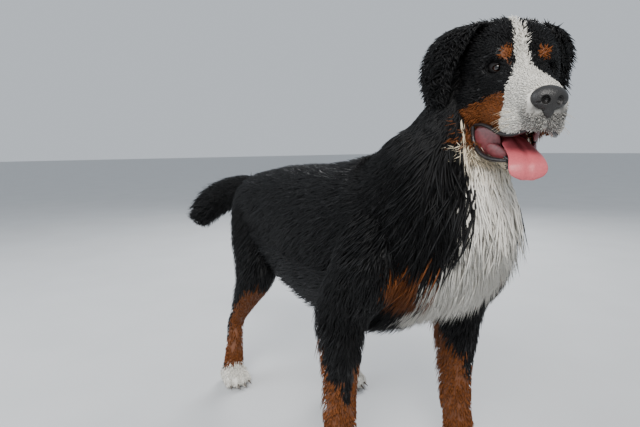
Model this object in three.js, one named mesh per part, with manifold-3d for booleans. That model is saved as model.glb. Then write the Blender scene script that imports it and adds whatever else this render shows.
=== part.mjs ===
// A Bernese mountain dog as a still, life-size model: standing, head turned to its right,
// mouth open with the tongue out, tail carried out behind.
// Millimetres, +Z up. The dog stands along +X with its left side towards +Y.
// The origin is on the floor, under the middle of the dog's box.
import * as THREE from "three";
import { mergeVertices } from "three/addons/utils/BufferGeometryUtils.js";
import Module from "manifold-3d";

const wasm = await Module();
wasm.setup();

// Driving dimensions
const GAP = 0.35; // between neighbouring nodes
const RAD = Math.PI / 180;
const HEAD_AT = new THREE.Vector3(496, 30, 800); // the point midway between the eyes
const HEAD_TURN = -33; // degrees towards the dog's left
const HEAD_NOD = 8; // degrees nose down
const HEAD_ROLL = -2;
const TRACK = 135; // each foot from the midline
const FORE_FOOT = { left: 291, right: 231 }; // how far forward each foot stands
const HIND_FOOT = { left: -113, right: -310 };
const SHOULDER = { z: 470, out: 108 };
const WRIST_HEIGHT = 128;
const HIP = { x: -300, z: 510 };
const THIGH_BONE = 208;
const SHANK_BONE = 210;
const HOCK_HEIGHT = 172;
const HOCK_BEHIND = 30; // the hock joint stands this far behind the foot
const EYE_RADIUS = 11.5;
const EYE_AT = { x: -7, y: 34, z: -1 }; // in the head's frame
const JAW_JOINT = { x: -60, z: -46 };
const JAW_OPEN = 19; // degrees
const CORE_SHARE = 0.42; // of the coat's depth

// Coat depth in millimetres, from the skin to the tips
const BODY_COAT = 25;
const FRINGE_COAT = 62;

const colours = {
  black: new THREE.MeshStandardMaterial({ color: 0x0b0a0a, roughness: 0.75, metalness: 0 }),
  rust: new THREE.MeshStandardMaterial({ color: 0x6e2f0c, roughness: 0.8, metalness: 0 }),
  white: new THREE.MeshStandardMaterial({ color: 0xd8d2c0, roughness: 0.85, metalness: 0 }),
  nose: new THREE.MeshStandardMaterial({ color: 0x17171a, roughness: 0.4, metalness: 0 }),
  tongue: new THREE.MeshStandardMaterial({ color: 0xb4606a, roughness: 0.35, metalness: 0 }),
  eye: new THREE.MeshStandardMaterial({ color: 0x1c0f08, roughness: 0.1, metalness: 0 }),
};

// A seeded draw, so that every run grows the same coat
let seed = 20;
function draw(low, high) {
  seed = (seed * 1664525 + 1013904223) % 4294967296;
  return low + ((high - low) * seed) / 4294967296;
}

// Solids
function solidOf(geometry) {
  return new wasm.Manifold(
    new wasm.Mesh({
      numProp: 3,
      vertProperties: new Float32Array(geometry.getAttribute("position").array),
      triVerts: new Uint32Array(geometry.index.array),
    }),
  );
}

function welded(geometry) {
  geometry.deleteAttribute("normal");
  geometry.deleteAttribute("uv");
  return mergeVertices(geometry, 1e-3);
}

function joined(solids) {
  return solids.reduce((whole, piece) => whole.add(piece));
}

// Points closer than this become one, so that no sliver is left where solids cross
const WELD = 0.01;
function withoutSlivers(solid) {
  let geometry = geometryOf(solid);
  for (const offset of [0, WELD / 3, WELD / 3]) {
    geometry = mergeVertices(geometry.translate(offset, offset, offset), WELD);
  }
  geometry.translate((-2 * WELD) / 3, (-2 * WELD) / 3, (-2 * WELD) / 3);
  const kept = [];
  const corners = geometry.index.array;
  for (let i = 0; i < corners.length; i += 3) {
    const [a, b, c] = corners.subarray(i, i + 3);
    if (a !== b && b !== c && c !== a) kept.push(a, b, c);
  }
  return solidOf(geometry.setIndex(kept));
}

// The largest closed surface, which drops a loose scrap or a sealed hollow
function largest(solid) {
  const biggest = (whole) =>
    whole.decompose().reduce((best, piece) => (piece.volume() > best.volume() ? piece : best));
  return biggest(withoutSlivers(biggest(solid)));
}

// Every edge of a sound solid has two faces, also once its points are rounded
function sound(solid) {
  const { vertProperties: place, triVerts: corners, numProp } = solid.getMesh();
  const name = (v) => [0, 1, 2].map((k) => Math.round(place[v * numProp + k] * 1e3)).join(" ");
  const faces = new Map();
  for (let i = 0; i < corners.length; i += 3) {
    const at = [0, 1, 2].map((k) => name(corners[i + k]));
    for (let k = 0; k < 3; k++) {
      const edge = [at[k], at[(k + 1) % 3]].sort().join("|");
      faces.set(edge, (faces.get(edge) ?? 0) + 1);
    }
  }
  return [...faces.values()].every((count) => count === 2);
}

// Draws a coat again until the solids that it makes are sound
function grownSound(grow) {
  for (let attempt = 0; attempt < 20; attempt++) {
    const made = grow();
    if (made.solids.every(sound)) return made;
  }
  throw new Error("no sound coat was drawn");
}

function geometryOf(solid) {
  const mesh = solid.getMesh();
  const stride = mesh.numProp;
  const place = new Float32Array(mesh.numVert * 3);
  for (let i = 0; i < mesh.numVert; i++) {
    place.set(mesh.vertProperties.subarray(i * stride, i * stride + 3), i * 3);
  }
  return new THREE.BufferGeometry()
    .setAttribute("position", new THREE.BufferAttribute(place, 3))
    .setIndex(new THREE.BufferAttribute(mesh.triVerts, 1));
}

function boxSolid(low, high) {
  const size = new THREE.Vector3().subVectors(high, low);
  const geometry = welded(new THREE.BoxGeometry(size.x, size.y, size.z));
  return solidOf(geometry.translate(low.x + size.x / 2, low.y + size.y / 2, low.z + size.z / 2));
}

// A ball stretched to three half sizes, then turned and placed
function ballSolid(at, half, turn = new THREE.Euler(), segments = [14, 10]) {
  const geometry = welded(new THREE.SphereGeometry(1, segments[0], segments[1]));
  geometry.scale(half[0], half[1], half[2]);
  geometry.applyMatrix4(new THREE.Matrix4().makeRotationFromEuler(turn));
  return solidOf(geometry.translate(at[0], at[1], at[2]));
}

// A lofted form. Each station is a ring in a plane that leans by tilt about the side axis and
// turns by yaw about Z. The ring reaches up, down and half to each side. A square of 2 is round.
const RING_KEYS = ["x", "y", "z", "tilt", "yaw", "half", "up", "down", "square", "cup"];
const RING_REST = { y: 0, tilt: 0, yaw: 0, square: 2, cup: 0 };

class Form {
  constructor(stations, { rings, sides, coat = () => 0 }) {
    this.stations = stations.map((station) => ({ ...RING_REST, ...station }));
    this.rings = rings;
    this.sides = sides;
    this.coat = coat;
  }

  ring(t) {
    const last = this.stations.length - 1;
    const index = Math.min(Math.floor(t * last), last - 1);
    const share = t * last - index;
    const around = [-1, 0, 1, 2].map((k) => this.stations[THREE.MathUtils.clamp(index + k, 0, last)]);
    const made = {};
    for (const key of RING_KEYS) {
      const [a, b, c, d] = around.map((station) => station[key]);
      const slopeB = (c - a) / 2;
      const slopeC = (d - b) / 2;
      made[key] =
        (2 * share ** 3 - 3 * share ** 2 + 1) * b +
        (share ** 3 - 2 * share ** 2 + share) * slopeB +
        (3 * share ** 2 - 2 * share ** 3) * c +
        (share ** 3 - share ** 2) * slopeC;
    }
    return made;
  }

  // The point at t along the form and at an angle round it, lifted off the skin
  point(t, angle, lift = 0) {
    const ring = this.ring(THREE.MathUtils.clamp(t, 0, 1));
    const forward = new THREE.Vector3(Math.cos(ring.yaw * RAD), Math.sin(ring.yaw * RAD), 0);
    const left = new THREE.Vector3(-forward.y, forward.x, 0);
    const upward = forward
      .clone()
      .multiplyScalar(-Math.sin(ring.tilt * RAD))
      .setZ(Math.cos(ring.tilt * RAD));
    const c = Math.cos(angle * RAD);
    const s = Math.sin(angle * RAD);
    const power = 2 / ring.square;
    const over = Math.sign(c) * Math.abs(c) ** power;
    const side = Math.sign(s) * Math.abs(s) ** power;
    const reach = (c > 0 ? ring.up : ring.down) + lift;
    return new THREE.Vector3(ring.x, ring.y, ring.z)
      .addScaledVector(left, side * (ring.half + lift) - ring.cup * over * over)
      .addScaledVector(upward, over * reach);
  }

  normal(t, angle) {
    const step = 0.004;
    const turn = 2;
    const low = Math.max(t - step, 0);
    const high = Math.min(t + step, 1);
    const along = this.point(high, angle).sub(this.point(low, angle));
    const around = this.point(t, angle + turn).sub(this.point(t, angle - turn));
    return along.cross(around).normalize();
  }

  // How far t and the angle move for each millimetre in a direction over the skin
  stride(t, angle, direction) {
    const step = 0.004;
    const turn = 2;
    const low = Math.max(t - step, 0);
    const high = Math.min(t + step, 1);
    const along = this.point(high, angle).sub(this.point(low, angle)).divideScalar(high - low);
    const around = this.point(t, angle + turn).sub(this.point(t, angle - turn)).divideScalar(2 * turn);
    const aa = along.dot(along);
    const ab = along.dot(around);
    const bb = around.dot(around);
    const ad = along.dot(direction);
    const bd = around.dot(direction);
    const det = aa * bb - ab * ab;
    const made = [(bb * ad - ab * bd) / det, (aa * bd - ab * ad) / det];
    const length = along.multiplyScalar(made[0]).addScaledVector(around, made[1]).length();
    return made.map((part) => part / Math.max(length, 0.3));
  }

  // The closed form, grown by a lift that is a number or a function of t and the angle
  solid(lift = 0, ends = 0) {
    const liftAt = typeof lift === "function" ? lift : () => lift;
    const places = [];
    const faces = [];
    const push = (p) => places.push(p.x, p.y, p.z) / 3 - 1;
    const at = (i) => i / this.rings;
    const middle = (t) => {
      const ring = this.ring(t);
      return new THREE.Vector3(ring.x, ring.y, ring.z);
    };
    const before = middle(0).sub(middle(0.01)).setLength(ends);
    const after = middle(1).sub(middle(0.99)).setLength(ends);
    const none = new THREE.Vector3();
    for (let i = 0; i <= this.rings; i++) {
      const onward = i === 0 ? before : i === this.rings ? after : none;
      for (let j = 0; j < this.sides; j++) {
        const angle = (360 * j) / this.sides;
        push(this.point(at(i), angle, liftAt(at(i), angle)).add(onward));
      }
    }
    const start = push(middle(0).add(before));
    const end = push(middle(1).add(after));
    for (let j = 0; j < this.sides; j++) {
      const next = (j + 1) % this.sides;
      for (let i = 0; i < this.rings; i++) {
        const row = i * this.sides;
        const above = row + this.sides;
        faces.push(row + j, above + j, above + next, row + j, above + next, row + next);
      }
      const top = this.rings * this.sides;
      faces.push(start, j, next, end, top + next, top + j);
    }
    return solidOf(
      new THREE.BufferGeometry()
        .setAttribute("position", new THREE.Float32BufferAttribute(places, 3))
        .setIndex(faces),
    );
  }

  core(grow = 0) {
    return this.solid((t, angle) => CORE_SHARE * this.coat(t, angle) + grow, grow);
  }

  // Out to the tips of the coat, with no locks
  plain(grow = 0) {
    return this.solid((t, angle) => this.coat(t, angle) + grow, grow);
  }
}

// A lock of fur: three-sided, rooted in the core, lying along the skin and rising to the coat's
// outside at its tip. The path walks over the form in the direction of the lie.
const LOCK_STEPS = 3;
const LOCK_WIDTHS = [0.3, 1, 0.85];

function lockPath(form, { t, angle, lie, length, sink = 12 }) {
  const path = [];
  let past = 0;
  for (let k = 0; k <= LOCK_STEPS; k++) {
    const tips = form.coat(t, angle);
    const base = CORE_SHARE * form.coat(t, angle);
    const lift = k === 0 ? base - sink : base + 3 + ((tips - base - 3) * (k - 0.6)) / (LOCK_STEPS - 0.6);
    const at = form.point(t, angle, lift).addScaledVector(lie, past);
    path.push({ at, normal: form.normal(t, angle) });
    const stride = length / LOCK_STEPS;
    const [dt, da] = form.stride(t, angle, lie);
    const next = t + dt * stride;
    if (next < 0 || next > 1) past += stride;
    t = THREE.MathUtils.clamp(next, 0, 1);
    angle += da * stride;
  }
  return path;
}

function lockSolid(form, lock, grow = 0) {
  const path = lockPath(form, lock);
  const places = [];
  for (let k = 0; k < LOCK_STEPS; k++) {
    const { at, normal } = path[k];
    const along = path[k + 1].at.clone().sub(path[Math.max(k - 1, 0)].at).normalize();
    const side = new THREE.Vector3().crossVectors(along, normal).normalize();
    const upward = new THREE.Vector3().crossVectors(side, along);
    const half = (lock.width * LOCK_WIDTHS[k]) / 2;
    const reach = half + grow * (2 + (5 * half) / lock.thick);
    const low = (k === 0 ? -0.3 * lock.thick : 0) - grow * 2.4;
    const high = lock.thick * (k === 0 ? 0.3 : 0.8) + grow * 2.4;
    for (const [across, height] of [[reach, low], [0, high], [-reach, low]]) {
      const corner = at.clone().addScaledVector(side, across).addScaledVector(upward, height);
      if (k === 0) corner.addScaledVector(along, -grow * 2);
      places.push(corner.x, corner.y, corner.z);
    }
  }
  const end = path[LOCK_STEPS].at;
  const run = end.clone().sub(path[LOCK_STEPS - 1].at).normalize();
  const tip = end.clone().addScaledVector(run, grow * 26);
  places.push(tip.x, tip.y, tip.z);
  const faces = [0, 1, 2];
  const rightSide = Math.sin(lock.angle * RAD) < 0;
  for (let k = 0; k < LOCK_STEPS - 1; k++) {
    for (let j = 0; j < 3; j++) {
      const a = k * 3 + j;
      const b = k * 3 + ((j + 1) % 3);
      if (rightSide) faces.push(a, a + 3, b, b, a + 3, b + 3);
      else faces.push(a, b + 3, b, a, a + 3, b + 3);
    }
  }
  const last = (LOCK_STEPS - 1) * 3;
  for (let j = 0; j < 3; j++) faces.push(last + j, LOCK_STEPS * 3, last + ((j + 1) % 3));
  const geometry = new THREE.BufferGeometry()
    .setAttribute("position", new THREE.Float32BufferAttribute(places, 3))
    .setIndex(faces);
  return solidOf(geometry);
}

// Rows of locks round a form. Each row gives its place, how many locks go round and the arc.
function lockRows(form, rows, { lie, length, width, thick = 9, sink, skip = () => false }) {
  const locks = [];
  rows.forEach(({ t, count, from = 0, to = 360 }, row) => {
    for (let j = 0; j < count; j++) {
      const angle = from + ((to - from) * (j + 0.5 + (row % 2) * 0.5)) / count + draw(-4, 4);
      const place = t + draw(-0.012, 0.012);
      const at = form.point(place, angle);
      if (skip(at)) continue;
      const grown = draw(0.88, 1.12);
      locks.push({
        t: place,
        angle,
        lie: lie(at, angle).normalize(),
        length: length(place, angle) * grown,
        width: width * draw(0.9, 1.1),
        thick,
        sink,
      });
    }
  });
  return locks;
}

const coatOf = (form, locks, grow = 0) => locks.map((lock) => lockSolid(form, lock, grow));

// Trunk: one form from the rump to the base of the skull
const trunkStations = [
  { x: -398, z: 522, half: 30, up: 38, down: 50 },
  { x: -376, z: 508, half: 74, up: 76, down: 86 },
  { x: -310, z: 500, half: 98, up: 94, down: 100 },
  { x: -220, z: 500, half: 104, up: 108, down: 110 },
  { x: -110, z: 497, half: 112, up: 121, down: 132 },
  { x: 10, z: 490, half: 124, up: 132, down: 148 },
  { x: 120, z: 488, half: 130, up: 146, down: 150 },
  { x: 210, z: 490, half: 128, up: 164, down: 148 },
  { x: 285, y: 2, z: 505, tilt: 26, half: 122, up: 168, down: 98 },
  { x: 330, y: 6, z: 565, tilt: 48, half: 97, up: 138, down: 96 },
  { x: 374, y: 20, z: 672, tilt: 54, half: 76, up: 90, down: 96 },
  { x: 404, y: 40, z: 746, tilt: 54, half: 56, up: 68, down: 40 },
  { x: 420, y: 48, z: 786, tilt: 50, half: 40, up: 46, down: 24 },
];
const NECK_CUT = 9; // the station where the neck leaves the torso
const trunkLast = trunkStations.length - 1;

function trunkCoat(t, angle) {
  const under = Math.max(0, -Math.cos(angle * RAD)) ** 1.5;
  const station = t * trunkLast;
  const rise = THREE.MathUtils.smoothstep(station, 2.2, 4.2);
  const ruff = 1 + 0.35 * THREE.MathUtils.smoothstep(station, 8.5, 9.6);
  const fall = 1 - 0.85 * THREE.MathUtils.smoothstep(station, 10.1, 11.1);
  const end = 1 - 0.4 * THREE.MathUtils.smoothstep(station, 10.5, 11.5);
  return BODY_COAT * end + (FRINGE_COAT * ruff - BODY_COAT) * under * rise * fall;
}

const trunk = new Form(trunkStations, { rings: 22, sides: 18, coat: trunkCoat });

// The body's hair lies back and down; the ruff's falls down the neck and chest
function bodyLie(at, angle) {
  const flank = Math.abs(Math.sin(angle * RAD)) * (Math.cos(angle * RAD) > -0.3 ? 0.6 : 0.1);
  return new THREE.Vector3(-0.8, 0, -0.05 - flank);
}
const ruffLie = (at, angle) => new THREE.Vector3(-0.15 - 0.45 * (0.5 + 0.5 * Math.cos(angle * RAD)), 0, -0.9);
const bodyLength = (t, angle) => 138 + 30 * Math.max(0, -Math.cos(angle * RAD));
const ruffLength = (t, angle) => 118 + 46 * Math.max(0, -Math.cos(angle * RAD));

// Nothing grows where a leg's own coat lies over the trunk
function underLimb(at) {
  const sign = Math.sign(at.y) || 1;
  const side = sign > 0 ? "left" : "right";
  const near = (chain, radius) => {
    const limb = new THREE.Line3(chain[1], chain[2]);
    return limb.closestPointToPoint(at, true, new THREE.Vector3()).distanceTo(at) < radius;
  };
  return near(foreChain(side, sign), 62) || near(hindChain(side, sign), 70);
}

// Legs: a chain of joints carries rings that reach forward, back and to the side
function legForm(chain, rings, options) {
  const stations = rings.map(({ at, front, back, half, square = 2, shift = 0 }) => {
    const index = Math.min(Math.floor(at), chain.length - 2);
    const place = new THREE.Vector3().lerpVectors(chain[index], chain[index + 1], at - index);
    return { x: place.x + shift, y: place.y, z: place.z, tilt: -90, half, up: front, down: back, square };
  });
  return new Form(stations, options);
}

// The bend of a two-bone limb: where the middle joint lies, on the side that bend points to
function middleJoint(top, bottom, upper, lower, bend) {
  const span = new THREE.Vector2(bottom.x - top.x, bottom.z - top.z);
  const length = Math.min(span.length(), upper + lower - 1);
  const along = (upper ** 2 - lower ** 2 + length ** 2) / (2 * length);
  const off = Math.sqrt(Math.max(upper ** 2 - along ** 2, 0)) * bend;
  const u = span.normalize();
  const share = along / length;
  return new THREE.Vector3(
    top.x + u.x * along - u.y * off,
    THREE.MathUtils.lerp(top.y, bottom.y, share),
    top.z + u.y * along + u.x * off,
  );
}

const ELBOW_HEIGHT = 348;
function foreChain(side, sign) {
  const foot = FORE_FOOT[side];
  const lead = foot - FORE_FOOT.right;
  return [
    new THREE.Vector3(250 + lead * 0.3, 82 * sign, 615),
    new THREE.Vector3(318 + lead * 0.7, SHOULDER.out * sign, SHOULDER.z),
    new THREE.Vector3(226 + lead * 1.2, (122 + lead * 0.1) * sign, ELBOW_HEIGHT),
    new THREE.Vector3(foot, (TRACK - 2) * sign, WRIST_HEIGHT),
    new THREE.Vector3(foot + 12, TRACK * sign, 48),
  ];
}

const foreRings = [
  { at: 0, front: 30, back: 34, half: 26 },
  { at: 0.5, front: 60, back: 68, half: 46 },
  { at: 1, front: 44, back: 100, half: 54 },
  { at: 1.5, front: 62, back: 78, half: 50 },
  { at: 2, front: 44, back: 42, half: 40 },
  { at: 2.35, front: 34, back: 36, half: 33 },
  { at: 2.7, front: 27, back: 29, half: 27 },
  { at: 3, front: 28, back: 30, half: 29 },
  { at: 3.4, front: 26, back: 28, half: 27 },
  { at: 3.8, front: 30, back: 30, half: 32 },
  { at: 4, front: 26, back: 26, half: 28 },
];
const foreLast = foreRings.length - 1;

// Feathering hangs from the back of the forearm, between elbow and wrist
function foreCoat(t, angle) {
  const behind = Math.max(0, -Math.cos(angle * RAD)) ** 2;
  const ring = t * foreLast;
  const feathered =
    THREE.MathUtils.smoothstep(ring, 2.5, 4) * (1 - THREE.MathUtils.smoothstep(ring, 5.4, 7));
  const upper = 1 - THREE.MathUtils.smoothstep(ring, 3, 5.5);
  return 6 + 12 * upper + 22 * behind * feathered;
}

function hindChain(side, sign) {
  const foot = HIND_FOOT[side];
  const hip = new THREE.Vector3(HIP.x, 62 * sign, HIP.z);
  const hock = new THREE.Vector3(foot - HOCK_BEHIND, 112 * sign, HOCK_HEIGHT);
  const stifle = middleJoint(hip, hock, THIGH_BONE, SHANK_BONE, 1);
  stifle.y = 102 * sign;
  return [
    new THREE.Vector3(HIP.x + 30, 54 * sign, HIP.z + 60),
    hip,
    stifle,
    hock,
    new THREE.Vector3(foot - 6, TRACK * sign, 46),
  ];
}

const hindRings = [
  { at: 0, front: 34, back: 60, half: 26 },
  { at: 0.6, front: 74, back: 52, half: 44 },
  { at: 1.1, front: 98, back: 44, half: 52 },
  { at: 1.5, front: 84, back: 60, half: 50 },
  { at: 1.85, front: 52, back: 64, half: 42, shift: 4 },
  { at: 2.15, front: 38, back: 48, half: 34 },
  { at: 2.5, front: 30, back: 36, half: 27 },
  { at: 2.8, front: 24, back: 28, half: 21 },
  { at: 3, front: 23, back: 26, half: 20 },
  { at: 3.3, front: 21, back: 22, half: 19 },
  { at: 3.7, front: 23, back: 24, half: 23 },
  { at: 4, front: 26, back: 26, half: 26 },
];
const hindLast = hindRings.length - 1;

// Breeches: the long coat on the back of the thigh
function hindCoat(t, angle) {
  const behind = Math.max(0, -Math.cos(angle * RAD)) ** 1.5;
  const ring = t * hindLast;
  const upper = 1 - THREE.MathUtils.smoothstep(ring, 3.5, 7.5);
  const breeches = 1 - THREE.MathUtils.smoothstep(ring, 4, 7.5);
  return 5 + 10 * upper + 22 * behind * breeches;
}

// Head, in its own frame: +X to the nose, the origin midway between the eyes
const headStations = [
  { x: -142, z: 10, half: 30, up: 30, down: 40 },
  { x: -126, z: 4, half: 56, up: 56, down: 66 },
  { x: -98, z: 0, half: 71, up: 69, down: 88, square: 2.1 },
  { x: -62, z: 0, half: 76, up: 75, down: 96, square: 2.2 },
  { x: -32, z: -2, half: 72, up: 73, down: 94, square: 2.3 },
  { x: -10, z: -8, half: 60, up: 61, down: 84, square: 2.4 },
  { x: 8, z: -20, half: 50, up: 41, down: 68, square: 2.5 },
  { x: 26, z: -32, half: 44, up: 32, down: 56, square: 2.6 },
  { x: 50, z: -40, half: 37, up: 30, down: 53, square: 2.7 },
  { x: 78, z: -44, half: 34, up: 28, down: 50, square: 2.7 },
  { x: 100, z: -50, half: 31, up: 27, down: 42, square: 2.6 },
  { x: 112, z: -54, half: 27, up: 24, down: 31, square: 2.4 },
  { x: 117, z: -56, half: 16, up: 16, down: 16 },
];
const headForm = new Form(headStations, { rings: 16, sides: 18, coat: () => 4 });

const jawStations = [
  { x: -46, z: -92, half: 34, up: 16, down: 20, square: 2.3 },
  { x: -22, z: -96, half: 40, up: 16, down: 22, square: 2.5 },
  { x: 10, z: -99, half: 34, up: 12, down: 19, square: 2.6 },
  { x: 45, z: -101, half: 28, up: 11, down: 17, square: 2.6 },
  { x: 74, z: -102, half: 24, up: 10, down: 15, square: 2.5 },
  { x: 90, z: -101, half: 16, up: 7, down: 11 },
  { x: 95, z: -101, half: 7, up: 4, down: 6 },
];
const jawForm = new Form(jawStations, { rings: 9, sides: 14, coat: () => 3 });

// The space between the jaws, which leaves the upper lips hanging at its sides
const mouthStations = [
  { x: -30, z: -96, half: 20, up: 14, down: 30 },
  { x: -12, z: -98, half: 31, up: 26, down: 30, square: 2.6 },
  { x: 40, z: -98, half: 33, up: 30, down: 30, square: 2.8 },
  { x: 84, z: -98, half: 30, up: 29, down: 30, square: 2.6 },
  { x: 104, z: -98, half: 18, up: 24, down: 30 },
  { x: 108, z: -98, half: 8, up: 14, down: 30 },
];
const mouthForm = new Form(mouthStations, { rings: 7, sides: 12 });

// The tongue lies in the lower jaw and hangs over its front
const tongueStations = [
  { x: -22, y: 0, z: -106, tilt: -14, half: 14, up: 5, down: 5 },
  { x: 10, y: -1, z: -112, tilt: -16, half: 21, up: 6, down: 6 },
  { x: 50, y: -3, z: -121, tilt: -14, half: 24, up: 6, down: 6 },
  { x: 84, y: -8, z: -127, tilt: -14, half: 26, up: 5.5, down: 5.5 },
  { x: 101, y: -11, z: -134, tilt: -52, half: 28, up: 5, down: 5 },
  { x: 107, y: -12, z: -142, tilt: -74, half: 28, up: 4.5, down: 4.5 },
  { x: 109, y: -13, z: -150, tilt: -84, half: 23, up: 4, down: 4 },
  { x: 109, y: -13, z: -156, tilt: -90, half: 10, up: 2.4, down: 2.4 },
];
const tongueForm = new Form(tongueStations, { rings: 14, sides: 10 });

const tailStations = [
  { x: -362, y: 0, z: 562, yaw: 180, half: 22, up: 20, down: 22 },
  { x: -392, y: -8, z: 562, yaw: 192, tilt: -2, half: 22, up: 21, down: 21 },
  { x: -430, y: -38, z: 558, yaw: 220, tilt: -8, half: 19, up: 19, down: 19 },
  { x: -470, y: -74, z: 545, yaw: 222, tilt: -22, half: 16, up: 16, down: 16 },
  { x: -504, y: -106, z: 520, yaw: 222, tilt: -40, half: 13, up: 13, down: 13 },
  { x: -526, y: -126, z: 492, yaw: 222, tilt: -50, half: 9, up: 9, down: 9 },
  { x: -535, y: -134, z: 478, yaw: 222, tilt: -52, half: 4, up: 4, down: 4 },
];
const tailLast = tailStations.length - 1;
function tailCoat(t, angle) {
  const under = 0.5 - 0.5 * Math.cos(angle * RAD);
  const station = t * tailLast;
  const grown = THREE.MathUtils.smoothstep(station, 0.4, 3);
  const tip = 1 - 0.65 * THREE.MathUtils.smoothstep(station, 4, 6);
  return 16 + (20 + 16 * under) * grown * tip;
}
const tailForm = new Form(tailStations, { rings: 10, sides: 12, coat: tailCoat });

// Ears, in the head's frame: a hanging leaf whose edges cup towards the head. The right one
// stands further off the neck than the left.
const EAR_FLARE = { left: -10, right: 16 };
function earForm(side) {
  const sign = side === "left" ? 1 : -1;
  const flare = EAR_FLARE[side];
  const leaf = [
    { x: -58, out: 50, z: 68, half: 7, up: 20, down: 24, cup: 0 },
    { x: -66, out: 66 + flare * 0.3, z: 61, half: 8, up: 34, down: 36, cup: 4 },
    { x: -74, out: 80 + flare * 0.6, z: 36, half: 8, up: 40, down: 42, cup: 10 },
    { x: -77, out: 88 + flare, z: 2, half: 6, up: 38, down: 42, cup: 10 },
    { x: -75, out: 88 + flare, z: -34, half: 5.5, up: 28, down: 34, cup: 7 },
    { x: -72, out: 87 + flare * 0.9, z: -62, half: 4.5, up: 16, down: 20, cup: 3 },
    { x: -70, out: 86 + flare * 0.9, z: -76, half: 2.5, up: 6, down: 8, cup: 0 },
  ];
  return new Form(
    leaf.map(({ out, cup, ...rest }) => ({ ...rest, y: out * sign, cup: cup * sign, tilt: -90 })),
    { rings: 9, sides: 10, coat: earCoat(sign) },
  );
}

// Wavy hair stands off the back edge and the outside of each ear
const earCoat = (sign) => (t, angle) => {
  const behind = Math.max(0, -Math.cos(angle * RAD)) ** 2;
  const outside = Math.max(0, sign * Math.sin(angle * RAD)) ** 2;
  const tip = 1 - 0.5 * THREE.MathUtils.smoothstep(t, 0.6, 1);
  return 4 + (34 * behind + 30 * outside) * THREE.MathUtils.smoothstep(t, 0.05, 0.3) * tip;
};

// Where the head stands in the dog
const headGroup = new THREE.Group();
headGroup.position.copy(HEAD_AT);
headGroup.rotation.set(HEAD_ROLL * RAD, HEAD_NOD * RAD, HEAD_TURN * RAD, "ZYX");
headGroup.updateMatrix();

function inDog(solid) {
  return solidOf(geometryOf(solid).applyMatrix4(headGroup.matrix));
}

// Head solid: skull and upper jaw, with brows, cheeks, lids and the hollow of the mouth
function eyeSolid(sign, grow = 0) {
  const radius = EYE_RADIUS + grow;
  return ballSolid([EYE_AT.x, EYE_AT.y * sign, EYE_AT.z], [radius, radius, radius], undefined, [10, 7]);
}

function lidOpening(sign) {
  const turn = new THREE.Euler(0, -4 * RAD, 16 * sign * RAD);
  return ballSolid([EYE_AT.x + 10, (EYE_AT.y + 0.5) * sign, EYE_AT.z], [12, 10, 6.4], turn, [9, 6]);
}

const browTurn = new THREE.Euler(0, 20 * RAD, 0);
const brow = (s, g) => ballSolid([-14, 34 * s, 26], [26 + g, 22 + g, 18 + g], browTurn, [8, 6]);
const cheek = (s, g) => ballSolid([-50, 50 * s, -58], [44 + g, 31 + g, 54 + g], undefined, [10, 7]);
const lip = (s, g) => ballSolid([56, 26 * s, -78], [46 + g, 16 + g, 24 + g], undefined, [10, 6]);
const socketTurn = (s) => new THREE.Euler(0, 0, 30 * s * RAD);
const socket = (s) => ballSolid([8, 48 * s, 0], [22, 17, 13], socketTurn(s), [9, 6]);
const lidBall = (s) => ballSolid([EYE_AT.x, EYE_AT.y * s, EYE_AT.z], [14.2, 14.2, 13.4], undefined, [10, 7]);

function headSolid(grow) {
  const lumps = [1, -1].flatMap((s) => [brow(s, grow), cheek(s, grow), lip(s, grow)]);
  return joined([headForm.solid(4 + grow, grow), ...lumps]);
}

function tooth(at, radius, height, lean) {
  const geometry = welded(new THREE.ConeGeometry(radius, height, 5));
  geometry.rotateX(Math.PI / 2);
  geometry.rotateY(lean * RAD);
  return solidOf(geometry.translate(at[0], at[1], at[2]));
}

function upperTeeth() {
  const canines = [1, -1].map((sign) => {
    const geometry = welded(new THREE.ConeGeometry(4.4, 22, 5));
    geometry.rotateX(-Math.PI / 2);
    return solidOf(geometry.translate(90, 19 * sign, -78));
  });
  return canines;
}

const noseAt = [116, 0, -41];
function noseSolid(grow = 0) {
  const pad = joined([
    ballSolid(noseAt, [16 + grow, 26 + grow, 18 + grow], new THREE.Euler(0, 14 * RAD, 0), [12, 8]),
    ballSolid([115, 0, -57], [12 + grow, 11 + grow, 14 + grow], undefined, [8, 6]),
  ]);
  return pad;
}
const nostrilTurn = (s) => new THREE.Euler(0, 0, 35 * s * RAD);
const nostril = (s) => ballSolid([132, 12 * s, -44], [9, 4.6, 5], nostrilTurn(s), [8, 6]);
const slitTurn = (s) => new THREE.Euler(0, 0, -60 * s * RAD);
const nostrilSlit = (s) => ballSolid([124, 20 * s, -49], [11, 5, 2], slitTurn(s), [8, 4]);
const philtrum = () => ballSolid([133, 0, -62], [8, 1.5, 18], undefined, [6, 6]);

function jawOpened(solid) {
  const geometry = geometryOf(solid);
  geometry.translate(-JAW_JOINT.x, 0, -JAW_JOINT.z);
  geometry.rotateY(JAW_OPEN * RAD);
  geometry.translate(JAW_JOINT.x, 0, JAW_JOINT.z);
  return solidOf(geometry);
}

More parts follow.
